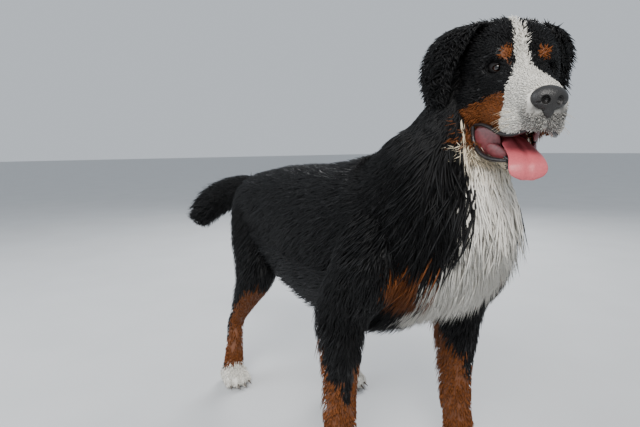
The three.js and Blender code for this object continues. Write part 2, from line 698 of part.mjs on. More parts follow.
// Paws: a low foot with four toes and their claws, flat where it stands
function pawSolid(foot, y, size) {
  const form = new Form(
    [
      { x: -46, z: 26, half: 16, up: 20, down: 18 },
      { x: -32, z: 25, half: 30, up: 33, down: 26 },
      { x: 0, z: 24, half: 38, up: 33, down: 27, square: 2.4 },
      { x: 24, z: 22, half: 37, up: 23, down: 25, square: 2.4 },
      { x: 36, z: 20, half: 30, up: 15, down: 20 },
    ],
    { rings: 5, sides: 10 },
  );
  const toes = [-1.5, -0.5, 0.5, 1.5].flatMap((place) => {
    const inner = Math.abs(place) < 1;
    const x = inner ? 34 : 22;
    const turn = new THREE.Euler(0, 12 * RAD, place * 7 * RAD);
    const claw = welded(new THREE.ConeGeometry(3.6, 20, 4));
    claw.rotateZ(-Math.PI / 2 - 26 * RAD);
    claw.rotateX(Math.PI / 2);
    claw.rotateZ(place * 7 * RAD);
    claw.translate(x + (inner ? 25 : 24), place * 20.5, 12);
    return [ballSolid([x, place * 19, 17], [23, 11, 17], turn, [7, 5]), solidOf(claw)];
  });
  const whole = geometryOf(joined([form.solid(0), ...toes]));
  whole.scale(size, size, size);
  whole.translate(foot, y, 0);
  const below = boxSolid(new THREE.Vector3(foot - 200, y - 200, -100), new THREE.Vector3(foot + 200, y + 200, 0));
  return solidOf(whole).subtract(below);
}

const bodyRows = [0.2, 0.3, 0.4, 0.5, 0.61].map((t) => ({ t, count: 7 }));
const bodyLocks = lockRows(trunk, bodyRows, {
  lie: bodyLie,
  length: bodyLength,
  width: 92,
  thick: 10,
  skip: underLimb,
});
const ruffRows = [
  { t: 0.775, count: 8 },
  { t: 0.825, count: 7 },
  { t: 0.87, count: 4, from: 90, to: 270 },
];
const ruffLocks = lockRows(trunk, ruffRows, {
  lie: ruffLie,
  length: ruffLength,
  width: 74,
  thick: 11,
});

// Assembly: each node is cut clear of those that were made before it
const dog = new THREE.Group();
function addNode(name, solid, material, group = dog) {
  const mesh = new THREE.Mesh(geometryOf(solid), material);
  mesh.name = name;
  group.add(mesh);
}

function halfSpace(at, normal) {
  const reach = 2000;
  const geometry = welded(new THREE.BoxGeometry(reach, reach, reach)).translate(reach / 2, 0, 0);
  const turn = new THREE.Quaternion().setFromUnitVectors(new THREE.Vector3(1, 0, 0), normal);
  geometry.applyQuaternion(turn);
  return solidOf(geometry.translate(at.x, at.y, at.z));
}

// Head and what it carries
const eyes = { left: eyeSolid(1), right: eyeSolid(-1) };
const nosePad = largest(
  joined([noseSolid()])
    .subtract(joined([nostril(1), nostril(-1), nostrilSlit(1), nostrilSlit(-1), philtrum()])),
);
const tongue = tongueForm.solid(0);
const tongueRoom = tongueForm.solid(GAP, GAP);
const jawWhole = jawOpened(jawForm.solid(3));
const mouthHollow = mouthForm.solid(0);
const lidded = headSolid(0)
  .subtract(joined([socket(1), socket(-1)]))
  .add(joined([lidBall(1), lidBall(-1)]))
  .subtract(joined([lidOpening(1), lidOpening(-1), eyeSolid(1, GAP), eyeSolid(-1, GAP)]));
const skull = largest(
  lidded
    .subtract(mouthHollow)
    .add(joined(upperTeeth()))
    .subtract(noseSolid(GAP)),
);
const lowerCanine = (s) => tooth([86, 17 * s, -92], 4.2, 24, -4);
const jawTeeth = jawOpened(joined([lowerCanine(1), lowerCanine(-1)]));
const jaw = largest(jawWhole.add(jawTeeth).subtract(joined([headGrown(), tongueRoom])));

function headGrown() {
  return headSolid(GAP).subtract(mouthForm.solid(-GAP));
}

// Wavy locks hang from the ears' backs and sides
function earLocks(side) {
  const form = earForm(side);
  const sign = side === "left" ? 1 : -1;
  const outer = side === "left" ? [60, 200] : [160, 300];
  const rows = [
    { t: 0.14, count: 2, from: outer[0], to: outer[1] },
    { t: 0.42, count: 2, from: outer[0], to: outer[1] },
  ];
  return lockRows(form, rows, {
    lie: () => new THREE.Vector3(-0.5, 0.22 * sign, -0.8),
    length: () => 84,
    width: 42,
    thick: 9,
    sink: 5,
  });
}
const earSolid = (side, locks, grow) =>
  joined([earForm(side).core(grow), ...coatOf(earForm(side), locks, grow)]);
const [earLeft, earRight] = ["left", "right"].map((side) =>
  grownSound(() => {
    const locks = earLocks(side);
    const ear = largest(earSolid(side, locks, 0).subtract(headSolid(GAP)));
    return { ear, locks, solids: [inDog(ear)] };
  }),
);
const earRooms = [earSolid("left", earLeft.locks, GAP), earSolid("right", earRight.locks, GAP)];

addNode("head", skull, colours.black, headGroup);
addNode("nose", nosePad, colours.nose, headGroup);
addNode("lower_jaw", jaw, colours.black, headGroup);
addNode("tongue", tongue, colours.tongue, headGroup);
addNode("eye_left", eyes.left, colours.eye, headGroup);
addNode("eye_right", eyes.right, colours.eye, headGroup);
addNode("ear_left", earLeft.ear, colours.black, headGroup);
addNode("ear_right", earRight.ear, colours.black, headGroup);
dog.add(headGroup);

// Neck and torso, parted by a thin cut
const cutStation = trunkStations[NECK_CUT];
const cutNormal = new THREE.Vector3(Math.cos(cutStation.tilt * RAD), 0, Math.sin(cutStation.tilt * RAD));
const cutAt = new THREE.Vector3(cutStation.x, 0, cutStation.z);
const aheadOfCut = halfSpace(cutAt.clone().addScaledVector(cutNormal, GAP / 2), cutNormal);
const behindCut = halfSpace(cutAt.clone().addScaledVector(cutNormal, -GAP / 2), cutNormal.clone().negate());
const jawRoom = jawOpened(jawForm.solid(3 + GAP, GAP));
// The ruff starts behind the cheeks and under the jaw
const ruffEdge = new THREE.Vector3(-62, -200, -124);
const faceRoom = jawOpened(boxSolid(ruffEdge, new THREE.Vector3(400, 200, 400)));
const neckRoom = inDog(joined([headSolid(GAP), jawRoom, tongueRoom, faceRoom, ...earRooms]));
const neckCore = trunk.core().intersect(aheadOfCut);
const neck = largest(joined([neckCore, ...coatOf(trunk, ruffLocks)]).subtract(neckRoom));
const ruffRoom = joined(coatOf(trunk, ruffLocks, GAP));
const torsoCore = trunk.core().intersect(behindCut);
const torso = largest(joined([torsoCore, ...coatOf(trunk, bodyLocks)]).subtract(ruffRoom));
addNode("neck", neck, colours.black);
addNode("torso", torso, colours.black);

// Tail
const tailLocks = lockRows(
  tailForm,
  [
    { t: 0.16, count: 3 },
    { t: 0.4, count: 3 },
    { t: 0.62, count: 3 },
  ],
  {
    lie: () => new THREE.Vector3(-0.62, -0.55, -0.4),
    length: () => 104,
    width: 34,
    thick: 10,
  },
);
const trunkRoom = joined([trunk.core(GAP), ruffRoom, ...coatOf(trunk, bodyLocks, GAP)]);
const tailWhole = (grow) => joined([tailForm.core(grow), ...coatOf(tailForm, tailLocks, grow)]);
addNode("tail", largest(tailWhole(0).subtract(trunkRoom)), colours.black);

// Legs
const WRIST_CUT = 112;
const ELBOW_CUT = 352;
const HOCK_CUT = 74;
const STIFLE_CUT = 318;
const legRoom = trunkRoom.add(tailWhole(GAP));
const level = (z) => halfSpace(new THREE.Vector3(0, 0, z), new THREE.Vector3(0, 0, 1));
const under = (z) => halfSpace(new THREE.Vector3(0, 0, z), new THREE.Vector3(0, 0, -1));
const legLie = () => new THREE.Vector3(-0.42, 0, -0.9);
const featherLie = () => new THREE.Vector3(-0.3, 0, -0.95);
const cutPart = (form, top, bottom) =>
  form.core().intersect(under(top)).intersect(level(bottom + GAP));
for (const [side, sign] of [["left", 1], ["right", -1]]) {
  const outside = (from, to) => (sign > 0 ? { from, to } : { from: 360 - to, to: 360 - from });
  const fore = legForm(foreChain(side, sign), foreRings, { rings: 14, sides: 12, coat: foreCoat });
  const foreleg = grownSound(() => {
    const armRows = [
      { t: 0.18, count: 2, ...outside(40, 140) },
      { t: 0.31, count: 3, ...outside(20, 170) },
    ];
    const featherRows = [
      { t: 0.4, count: 2, from: 130, to: 230 },
      { t: 0.52, count: 2, from: 130, to: 230 },
    ];
    const armLook = { lie: legLie, length: () => 118, width: 62, thick: 10 };
    const featherLook = { lie: featherLie, length: () => 84, width: 34, thick: 9 };
    const armLocks = lockRows(fore, armRows, armLook);
    const feathers = lockRows(fore, featherRows, featherLook);
    const arm = joined([cutPart(fore, 900, ELBOW_CUT), ...coatOf(fore, armLocks)]);
    const forearm = joined([cutPart(fore, ELBOW_CUT, WRIST_CUT), ...coatOf(fore, feathers)]);
    const room = joined([legRoom, ...coatOf(fore, armLocks, GAP)]);
    return {
      solids: [
        largest(arm.subtract(legRoom)),
        largest(forearm.intersect(under(ELBOW_CUT)).subtract(room)),
      ],
    };
  });
  const forePaw = pawSolid(FORE_FOOT[side] + 14, TRACK * sign, 1);
  addNode(`upper_arm_${side}`, foreleg.solids[0], colours.black);
  addNode(`forearm_${side}`, foreleg.solids[1], colours.rust);
  addNode(`forepaw_${side}`, largest(fore.core().add(forePaw).intersect(under(WRIST_CUT))), colours.white);

  const hind = legForm(hindChain(side, sign), hindRings, { rings: 16, sides: 12, coat: hindCoat });
  const hindleg = grownSound(() => {
    const thighRows = [
      { t: 0.17, count: 3, ...outside(10, 180) },
      { t: 0.3, count: 3, ...outside(20, 190) },
      { t: 0.42, count: 2, ...outside(130, 220) },
    ];
    const thighLocks = lockRows(hind, thighRows, { lie: legLie, length: () => 112, width: 66, thick: 10 });
    const thigh = joined([cutPart(hind, 900, STIFLE_CUT), ...coatOf(hind, thighLocks)]);
    const room = joined([legRoom, ...coatOf(hind, thighLocks, GAP)]);
    const shank = cutPart(hind, STIFLE_CUT, HOCK_CUT);
    return { solids: [largest(thigh.subtract(legRoom)), largest(shank.subtract(room))] };
  });
  const hindPaw = pawSolid(HIND_FOOT[side], TRACK * sign, 0.94);
  addNode(`thigh_${side}`, hindleg.solids[0], colours.black);
  addNode(`shank_${side}`, hindleg.solids[1], colours.rust);
  addNode(`hindpaw_${side}`, largest(hind.core().add(hindPaw).intersect(under(HOCK_CUT))), colours.white);
}

// The origin goes under the middle of the box
dog.updateMatrixWorld(true);
const box = new THREE.Box3().setFromObject(dog, true);
const centre = box.getCenter(new THREE.Vector3());
const whole = (v) => Math.round(v * 1000) / 1000;
dog.position.set(whole(-centre.x), whole(-centre.y), whole(-box.min.z));

export default dog;
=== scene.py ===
import math

import bpy
import numpy as np
from mathutils import Matrix, Vector, kdtree


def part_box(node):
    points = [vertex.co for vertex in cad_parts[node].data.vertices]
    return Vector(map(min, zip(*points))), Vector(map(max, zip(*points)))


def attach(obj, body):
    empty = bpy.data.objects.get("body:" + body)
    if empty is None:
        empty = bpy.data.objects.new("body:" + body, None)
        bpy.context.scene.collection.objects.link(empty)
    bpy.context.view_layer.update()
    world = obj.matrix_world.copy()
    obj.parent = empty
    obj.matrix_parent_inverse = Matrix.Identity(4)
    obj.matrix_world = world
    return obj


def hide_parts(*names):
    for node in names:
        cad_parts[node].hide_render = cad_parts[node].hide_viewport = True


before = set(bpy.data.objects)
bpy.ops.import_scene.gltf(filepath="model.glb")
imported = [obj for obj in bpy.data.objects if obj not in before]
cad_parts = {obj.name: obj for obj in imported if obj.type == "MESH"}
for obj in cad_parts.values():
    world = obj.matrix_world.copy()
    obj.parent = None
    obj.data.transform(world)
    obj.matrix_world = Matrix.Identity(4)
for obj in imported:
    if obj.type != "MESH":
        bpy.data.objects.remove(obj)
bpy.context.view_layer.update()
rng = np.random.default_rng(11)

# Sizes and places are in millimetres in the dog's own frame until to_scene() makes them metres
HEAD_AT = np.array([496.0, 30.0, 800.0])
HEAD_TURN, HEAD_NOD, HEAD_ROLL = -33.0, 8.0, -2.0
EYE_AT = np.array([-7.0, 34.0, -1.0])
EYE_RADIUS = 11.5
JAW_JOINT = np.array([-60.0, 0.0, -46.0])
JAW_OPEN = 19.0
TRACK = 135.0
MIDDLE_X = 80.0  # between the forefeet and the hind feet
FORE_FOOT = {"left": 291.0, "right": 231.0}
HIND_FOOT = {"left": -113.0, "right": -310.0}
ELBOW_HEIGHT = 348.0
WRIST_HEIGHT = 128.0
SIDES = {"left": 1.0, "right": -1.0}
SKIN_GRAIN = 0.0042  # the skin's mesh size in metres

BLACK = np.array([0.0042, 0.0042, 0.0046])
RUST = np.array([0.17, 0.050, 0.010])
WHITE = np.array([0.80, 0.77, 0.70])
CREAM = np.array([0.72, 0.58, 0.36])
GREY = np.array([0.10, 0.095, 0.09])

# Depths of coat on the back and under the belly, and the gaps that keep the dog above the floor
BODY_COAT = 25.0
FRINGE_COAT = 62.0
HAIR_ABOVE_FLOOR = 0.5
SKIN_ABOVE_FLOOR = 0.0004  # in metres

# Paws: where each one's middle is along the dog, its size, and its toes' places across it
PAW_AT = {"fore": {side: wrist + 14 for side, wrist in FORE_FOOT.items()}, "hind": HIND_FOOT}
PAW_SIZE = {"fore": 1.0, "hind": 0.94}
TOES = (-1.5, -0.5, 0.5, 1.5)
TOE_TURN = 7

# Where the camera stands from the dog's own origin, in metres, and how it looks
CAMERA_AT = (0.999, -0.664, 0.68)
CAMERA_WAY = (-0.8434, 0.5373)
CAMERA_PITCH, CAMERA_ROLL, CAMERA_LENS = 7.5, -0.7, 28


def turned(axis, degrees):
    return np.array(Matrix.Rotation(math.radians(degrees), 3, axis))


HEAD = turned("Z", HEAD_TURN) @ turned("Y", HEAD_NOD) @ turned("X", HEAD_ROLL)
JAW_TURN = turned("Y", JAW_OPEN)
eye_place = HEAD_AT + HEAD @ EYE_AT
eye_low, eye_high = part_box("eye_left")
SHIFT = np.array((eye_low + eye_high) / 2) - eye_place * 0.001  # puts the left eye on the frame's own


def to_scene(points):
    return points * 0.001 + SHIFT


def to_dog(points):
    return (points - SHIFT) * 1000


def head_to_dog(points):
    return HEAD_AT + points @ HEAD.T


def dog_to_head(points):
    return (points - HEAD_AT) @ HEAD


def opened(points):
    return (points - JAW_JOINT) @ JAW_TURN.T + JAW_JOINT


def shut(points):
    return (points - JAW_JOINT) @ JAW_TURN + JAW_JOINT


def rise(value, low, high):
    share = np.clip((value - low) / (high - low), 0, 1)
    return share * share * (3 - 2 * share)


def even(value):
    return lambda *place: value


def unit(vectors):
    return vectors / np.maximum(np.linalg.norm(vectors, axis=-1, keepdims=True), 1e-6)


# A form is a run of rings whose size and place change smoothly from station to station
KEYS = ("x", "y", "z", "tilt", "yaw", "half", "up", "down", "square", "cup")


class Form:
    def __init__(self, names, rows, coat=None, move=None, **rest):
        names = names.split()
        rows = [dict(zip(names, row)) for row in rows]
        rest = {"square": 2.0, **rest}
        self.table = np.array([[row.get(key, rest.get(key, 0.0)) for key in KEYS] for row in rows])
        self.last = len(rows) - 1
        self.coat = coat
        self.move = move or (lambda points: points)

    # A cubic curve through the stations
    def ring(self, t):
        t = np.clip(t, 0, 1) * self.last
        index = np.minimum(t.astype(int), self.last - 1)
        s = (t - index)[:, None]
        a, b, c, d = (self.table[np.clip(index + k, 0, self.last)] for k in (-1, 0, 1, 2))
        return (
            (2 * s**3 - 3 * s**2 + 1) * b
            + (s**3 - 2 * s**2 + s) * (c - a) / 2
            + (3 * s**2 - 2 * s**3) * c
            + (s**3 - s**2) * (d - b) / 2
        )

    def point(self, t, angle, lift=0.0):
        x, y, z, tilt, yaw, half, up, down, square, cup = self.ring(t).T
        tilt, yaw = np.radians(tilt), np.radians(yaw)
        forward = np.stack([np.cos(yaw), np.sin(yaw), 0 * yaw], 1)
        left = np.stack([-forward[:, 1], forward[:, 0], 0 * yaw], 1)
        upward = -forward * np.sin(tilt)[:, None]
        upward[:, 2] = np.cos(tilt)
        c, s = np.cos(angle), np.sin(angle)
        over = np.sign(c) * np.abs(c) ** (2 / square)
        side = np.sign(s) * np.abs(s) ** (2 / square)
        reach = np.where(c > 0, up, down) + lift
        across = side * (half + lift) - cup * over * over
        spot = np.stack([x, y, z], 1) + left * across[:, None] + upward * (over * reach)[:, None]
        return self.move(spot)

    def slopes(self, t, angle):
        low, high = np.maximum(t - 0.004, 0), np.minimum(t + 0.004, 1)
        along = (self.point(high, angle) - self.point(low, angle)) / (high - low)[:, None]
        around = (self.point(t, angle + 0.03) - self.point(t, angle - 0.03)) / 0.06
        return along, around

    # How far t and the angle move for each millimetre in a direction over the skin
    def stride(self, t, angle, direction):
        along, around = self.slopes(t, angle)
        aa, ab, bb = (along * along).sum(1), (along * around).sum(1), (around * around).sum(1)
        ad, bd = (along * direction).sum(1), (around * direction).sum(1)
        det = np.maximum(aa * bb - ab * ab, 1e-6)
        dt, da = (bb * ad - ab * bd) / det, (aa * bd - ab * ad) / det
        length = np.linalg.norm(along * dt[:, None] + around * da[:, None], axis=1)
        length = np.maximum(length, 0.35)
        return dt / length, da / length

    def grid(self, rings, sides, lift=0.0):
        t, angle = np.meshgrid(
            np.linspace(0, 1, rings + 1), np.linspace(0, 2 * np.pi, sides, endpoint=False), indexing="ij"
        )
        points = self.point(t.ravel(), angle.ravel(), lift)
        ends = self.move(self.ring(np.array([0.0, 1.0]))[:, :3])
        points = np.vstack([points, ends])
        faces = []
        for i in range(rings):
            for j in range(sides):
                k = (j + 1) % sides
                a, b, c, d = i * sides + j, i * sides + k, (i + 1) * sides + k, (i + 1) * sides + j
                faces += [(a, d, c), (a, c, b)]
        first, final = len(points) - 2, len(points) - 1
        for j in range(sides):
            k = (j + 1) % sides
            faces += [(first, j, k), (final, rings * sides + k, rings * sides + j)]
        return points, np.array(faces)


def mesh_object(name, points, faces):
    mesh = bpy.data.meshes.new(name)
    faces = np.asarray(faces, np.int32)
    mesh.vertices.add(len(points))
    mesh.vertices.foreach_set("co", np.asarray(points, np.float32).ravel())
    mesh.loops.add(faces.size)
    mesh.loops.foreach_set("vertex_index", faces.ravel())
    mesh.polygons.add(len(faces))
    mesh.polygons.foreach_set("loop_start", np.arange(0, faces.size, faces.shape[1], dtype=np.int32))
    mesh.update(calc_edges=True)
    made = bpy.data.objects.new(name, mesh)
    bpy.context.scene.collection.objects.link(made)
    return made


def places_of(thing):
    places = np.zeros(len(thing.data.vertices) * 3)
    thing.data.vertices.foreach_get("co", places)
    return places.reshape(-1, 3)


def set_places(thing, places):
    thing.data.vertices.foreach_set("co", places.ravel())
    thing.data.update()


def pick(thing):
    bpy.ops.object.select_all(action="DESELECT")
    bpy.context.view_layer.objects.active = thing
    thing.select_set(True)


def face_outward(thing):
    pick(thing)
    bpy.ops.object.mode_set(mode="EDIT")
    bpy.ops.mesh.select_all(action="SELECT")
    bpy.ops.mesh.normals_make_consistent(inside=False)
    bpy.ops.object.mode_set(mode="OBJECT")
    bpy.ops.object.shade_smooth()


def loft(name, form, rings=40, sides=36, lift=0.0):
    points, faces = form.grid(rings, sides, lift)
    made = mesh_object(name, to_scene(points), faces)
    face_outward(made)
    return made


def ball(name, at, half, turn=(0, 0, 0), segments=(32, 20), move=head_to_dog):
    bpy.ops.mesh.primitive_uv_sphere_add(segments=segments[0], ring_count=segments[1], radius=1)
    made = bpy.context.object
    made.name = name
    turning = turned("Z", turn[2]) @ turned("Y", turn[1]) @ turned("X", turn[0])
    places = (places_of(made) * np.array(half)) @ turning.T + np.array(at)
    set_places(made, to_scene(move(places)))
    face_outward(made)
    return made


def cone(name, sides, wide, tip, height, shape):
    """shape takes the cone's upright places in millimetres and gives them in the dog's frame"""
    bpy.ops.mesh.primitive_cone_add(vertices=sides, radius1=wide, radius2=tip, depth=height)
    made = bpy.context.object
    made.name = name
    set_places(made, to_scene(shape(places_of(made))))
    face_outward(made)
    return made


def joined(name, pieces):
    pick(pieces[0])
    for piece in pieces:
        piece.select_set(True)
    bpy.ops.object.join()
    pieces[0].name = name
    return pieces[0]


def applied(thing, kind, **settings):
    pick(thing)
    change = thing.modifiers.new("change", kind)
    for key, value in settings.items():
        setattr(change, key, value)
    bpy.ops.object.modifier_apply(modifier=change.name)


def remeshed(thing, grain, smoothing=0):
    applied(thing, "REMESH", mode="VOXEL", voxel_size=grain, use_smooth_shade=True)
    if smoothing:
        applied(thing, "SMOOTH", factor=0.5, iterations=smoothing)
    return thing


def cut(thing, cutter):
    applied(thing, "BOOLEAN", operation="DIFFERENCE", solver="EXACT", object=cutter)
    bpy.data.objects.remove(cutter)


# The body's forms and the depth of coat on each
TRUNK_ROWS = [
    (-398, 522, 0, 0, 30, 38, 50),
    (-376, 508, 0, 0, 74, 76, 86),
    (-310, 500, 0, 0, 98, 94, 100),
    (-220, 500, 0, 0, 104, 108, 110),
    (-110, 497, 0, 0, 112, 121, 132),
    (10, 490, 0, 0, 124, 132, 148),
    (120, 488, 0, 0, 130, 146, 150),
    (210, 490, 0, 0, 128, 164, 148),
    (285, 505, 2, 26, 122, 168, 98),
    (330, 565, 6, 48, 97, 138, 96),
    (374, 672, 20, 54, 76, 90, 96),
    (404, 746, 40, 54, 56, 68, 40),
    (420, 786, 48, 50, 40, 46, 24),
]


TRUNK_LAST = len(TRUNK_ROWS) - 1


def trunk_coat(t, angle):
    under = np.maximum(0, -np.cos(angle)) ** 1.5
    station = t * TRUNK_LAST
    grown = rise(station, 2.2, 4.2)
    ruff = 1 + 0.7 * rise(station, 8.3, 9.6)
    fall = 1 - 0.85 * rise(station, 10.3, 11.4)
    end = 1 - 0.4 * rise(station, 10.5, 11.5)
    return BODY_COAT * end + (FRINGE_COAT * ruff - BODY_COAT) * under * grown * fall


trunk = Form("x z y tilt half up down", TRUNK_ROWS, trunk_coat)


def chain_form(chain, rings, coat):
    rows = []
    for at, front, back, half, *shift in rings:
        index = min(int(at), len(chain) - 2)
        spot = chain[index] + (chain[index + 1] - chain[index]) * (at - index)
        rows.append((spot[0] + (shift[0] if shift else 0), spot[1], spot[2], half, front, back))
    return Form("x y z half up down", rows, coat, tilt=-90)


# A leg's rings: place along its chain of joints, reach ahead and behind, half width, and a shift ahead
FORE_RINGS = [
    (0, 14, 16, 12),
    (0.5, 60, 68, 44),
    (1, 44, 100, 54),
    (1.5, 62, 78, 50),
    (2, 44, 42, 40),
    (2.35, 34, 36, 33),
    (2.7, 27, 29, 27),
    (3, 28, 30, 29),
    (3.4, 26, 28, 27),
    (3.8, 30, 30, 32),
    (4, 26, 26, 28),
]
HIND_RINGS = [
    (0, 34, 60, 26),
    (0.6, 74, 52, 44),
    (1.1, 98, 44, 52),
    (1.5, 84, 60, 50),
    (1.85, 52, 64, 42, 4),
    (2.15, 38, 48, 34),
    (2.5, 30, 36, 27),
    (2.8, 24, 28, 21),
    (3, 23, 26, 20),
    (3.3, 21, 22, 19),
    (3.7, 23, 24, 23),
    (4, 26, 26, 26),
]


def fore_coat(t, angle):
    behind = np.maximum(0, -np.cos(angle)) ** 2
    ring = t * (len(FORE_RINGS) - 1)
    feathered = rise(ring, 2.5, 4) * (1 - rise(ring, 5.4, 7))
    return 6 + 12 * (1 - rise(ring, 3, 5.5)) + 22 * behind * feathered


def hind_coat(t, angle):
    behind = np.maximum(0, -np.cos(angle)) ** 1.5
    ring = t * (len(HIND_RINGS) - 1)
    breeches = 1 - rise(ring, 4, 7.5)
    return 5 + 10 * (1 - rise(ring, 3.5, 7.5)) + 22 * behind * breeches


def fore_form(side):
    foot, sign = FORE_FOOT[side], SIDES[side]
    lead = foot - FORE_FOOT["right"]
    chain = [
        (250 + lead * 0.3, 66 * sign, 610),
        (318 + lead * 0.7, 108 * sign, 470),
        (226 + lead * 1.2, (122 + lead * 0.1) * sign, ELBOW_HEIGHT),
        (foot, (TRACK - 2) * sign, WRIST_HEIGHT),
        (foot + 12, TRACK * sign, 48),
    ]
    return chain_form(np.array(chain), FORE_RINGS, fore_coat)


def hind_form(side):
    foot, sign = HIND_FOOT[side], SIDES[side]
    hip, hock = np.array([-300, 62 * sign, 510]), np.array([foot - 30, 112 * sign, 172])
    # The stifle is where a thigh and a shank of these lengths meet
    thigh, shank = 208.0, 210.0
    span = (hock - hip)[[0, 2]]
    length = min(np.linalg.norm(span), thigh + shank - 1)
    along = (thigh**2 - shank**2 + length**2) / (2 * length)
    off = math.sqrt(max(thigh**2 - along**2, 0))
    u = span / np.linalg.norm(span)
    stifle = (hip[0] + u[0] * along - u[1] * off, 102 * sign, hip[2] + u[1] * along + u[0] * off)
    chain = [(-270, 54 * sign, 570), hip, stifle, hock, (foot - 6, TRACK * sign, 46)]
    return chain_form(np.array(chain, float), HIND_RINGS, hind_coat)


TAIL_ROWS = [
    (-362, 0, 562, 180, 0, 22, 20, 22),
    (-392, -8, 562, 192, -2, 22, 21, 21),
    (-430, -38, 558, 220, -8, 19, 19, 19),
    (-470, -74, 545, 222, -22, 16, 16, 16),
    (-504, -106, 520, 222, -40, 13, 13, 13),
    (-526, -126, 492, 222, -50, 9, 9, 9),
    (-535, -134, 478, 222, -52, 4, 4, 4),
]


def tail_coat(t, angle):
    under = 0.5 - 0.5 * np.cos(angle)
    ring = t * (len(TAIL_ROWS) - 1)
    tip = 1 - 0.65 * rise(ring, 4, 6)
    return 16 + (20 + 16 * under) * rise(ring, 0.4, 3) * tip


tail = Form("x y z yaw tilt half up down", TAIL_ROWS, tail_coat)

HEAD_ROWS = [
    (-142, 10, 30, 30, 40),
    (-126, 4, 56, 56, 66),
    (-98, 0, 71, 69, 88, 2.1),
    (-62, 0, 76, 75, 96, 2.2),
    (-32, -2, 72, 73, 94, 2.3),
    (-10, -8, 60, 61, 84, 2.4),
    (8, -20, 50, 41, 68, 2.5),
    (26, -32, 44, 32, 56, 2.6),
    (50, -40, 37, 30, 53, 2.7),
    (78, -44, 34, 28, 50, 2.7),
    (100, -50, 31, 27, 42, 2.6),
    (112, -54, 27, 24, 31, 2.4),
    (117, -56, 16, 16, 16),
]
JAW_ROWS = [
    (-46, -92, 34, 16, 20, 2.3),
    (-22, -96, 40, 16, 22, 2.5),
    (10, -99, 34, 12, 19, 2.6),
    (45, -101, 28, 11, 17, 2.6),
    (74, -102, 24, 10, 15, 2.5),
    (90, -101, 16, 7, 11),
    (95, -101, 7, 4, 6),
]
MOUTH_ROWS = [
    (-30, -96, 20, 14, 30),
    (-12, -98, 31, 26, 30, 2.6),
    (40, -98, 33, 30, 30, 2.8),
    (84, -98, 30, 29, 30, 2.6),
    (104, -98, 18, 24, 30),
    (108, -98, 8, 14, 30),
]
TONGUE_ROWS = [
    (-22, 0, -106, -14, 14, 5, 5),
    (10, -1, -112, -16, 21, 6, 6),
    (50, -3, -121, -14, 24, 6, 6),
    (84, -8, -127, -14, 26, 5.5, 5.5),
    (101, -11, -134, -52, 28, 5, 5),
    (107, -12, -142, -74, 28, 4.5, 4.5),
    (109, -13, -150, -84, 23, 4, 4),
    (109, -13, -156, -90, 10, 2.4, 2.4),
]
EAR_ROWS = [
    (-58, 50, 68, 7, 20, 24, 0, 0),
    (-66, 66, 61, 8, 34, 36, 4, 0.3),
    (-74, 80, 36, 8, 40, 42, 10, 0.6),
    (-77, 88, 2, 6, 38, 42, 10, 1),
    (-75, 88, -34, 5.5, 28, 34, 7, 1),
    (-72, 87, -62, 4.5, 16, 20, 3, 0.9),
    (-70, 86, -76, 2.5, 6, 8, 0, 0.9),
]
EAR_FLARE = {"left": -10.0, "right": 16.0}  # how far out each ear's lower part stands
SHAPE = "x z half up down square"
head_form = Form(SHAPE, HEAD_ROWS, even(4), head_to_dog)
jaw_form = Form(SHAPE, JAW_ROWS, even(3), lambda p: head_to_dog(opened(p)))
mouth_form = Form(SHAPE, MOUTH_ROWS, None, head_to_dog)
tongue_form = Form("x y z tilt half up down", TONGUE_ROWS, None, head_to_dog)


def ear_coat(sign):
    def coat(t, angle):
        behind = np.maximum(0, -np.cos(angle)) ** 2
        outside = np.maximum(0, sign * np.sin(angle)) ** 2
        tip = 1 - 0.5 * rise(t, 0.6, 1)
        return 4 + (34 * behind + 30 * outside) * rise(t, 0.05, 0.3) * tip

    return coat


def ear_form(side):
    sign, flare = SIDES[side], EAR_FLARE[side]
    rows = [
        (x, (out + flare * share) * sign, z, half, up, down, cup * sign)
        for x, out, z, half, up, down, cup, share in EAR_ROWS
    ]
    return Form("x y z half up down cup", rows, ear_coat(sign), head_to_dog, tilt=-90)


fore = {side: fore_form(side) for side in SIDES}
hind = {side: hind_form(side) for side in SIDES}
ears = {side: ear_form(side) for side in SIDES}


# Skin: the forms become one closed mesh
def paw_move(kind, side):
    middle = np.array([PAW_AT[kind][side], TRACK * SIDES[side], 0])
    return lambda points: points * PAW_SIZE[kind] + middle


def toe_root(place):
    return 34 if abs(place) < 1 else 22


def paw_pieces(kind, side):
    move = paw_move(kind, side)
    rows = [
        (-46, 26, 16, 20, 18),
        (-32, 25, 30, 33, 25),
        (0, 24, 38, 33, 24, 2.4),
        (24, 22, 37, 23, 22, 2.4),
        (36, 20, 30, 15, 20),
    ]
    pieces = [loft("paw", Form(SHAPE, rows, None, move), 16, 24)]
    for place in TOES:
        at, turn = (toe_root(place), place * 19, 18), (0, 12, place * TOE_TURN)
        pieces.append(ball("toe", at, (22, 11, 17), turn, (16, 12), move))
    return pieces


head_pieces = [loft("skull", head_form, 60, 48)]
for sign in SIDES.values():
    head_pieces += [
        ball("brow", (-14, 34 * sign, 24), (26, 22, 18), (0, 20, 0)),
        ball("cheek", (-50, 50 * sign, -58), (44, 31, 54)),
        ball("lip", (56, 26 * sign, -78), (46, 16, 24)),
        ball("flews", (10, 40 * sign, -72), (36, 13, 18)),
    ]
head_skin = remeshed(joined("head_skin", head_pieces), 0.003)
cut(head_skin, loft("mouth_cut", mouth_form, 24, 28))
for sign in SIDES.values():
    cut(head_skin, ball("socket", (8, 48 * sign, 0), (22, 17, 13), (0, 0, 30 * sign)))

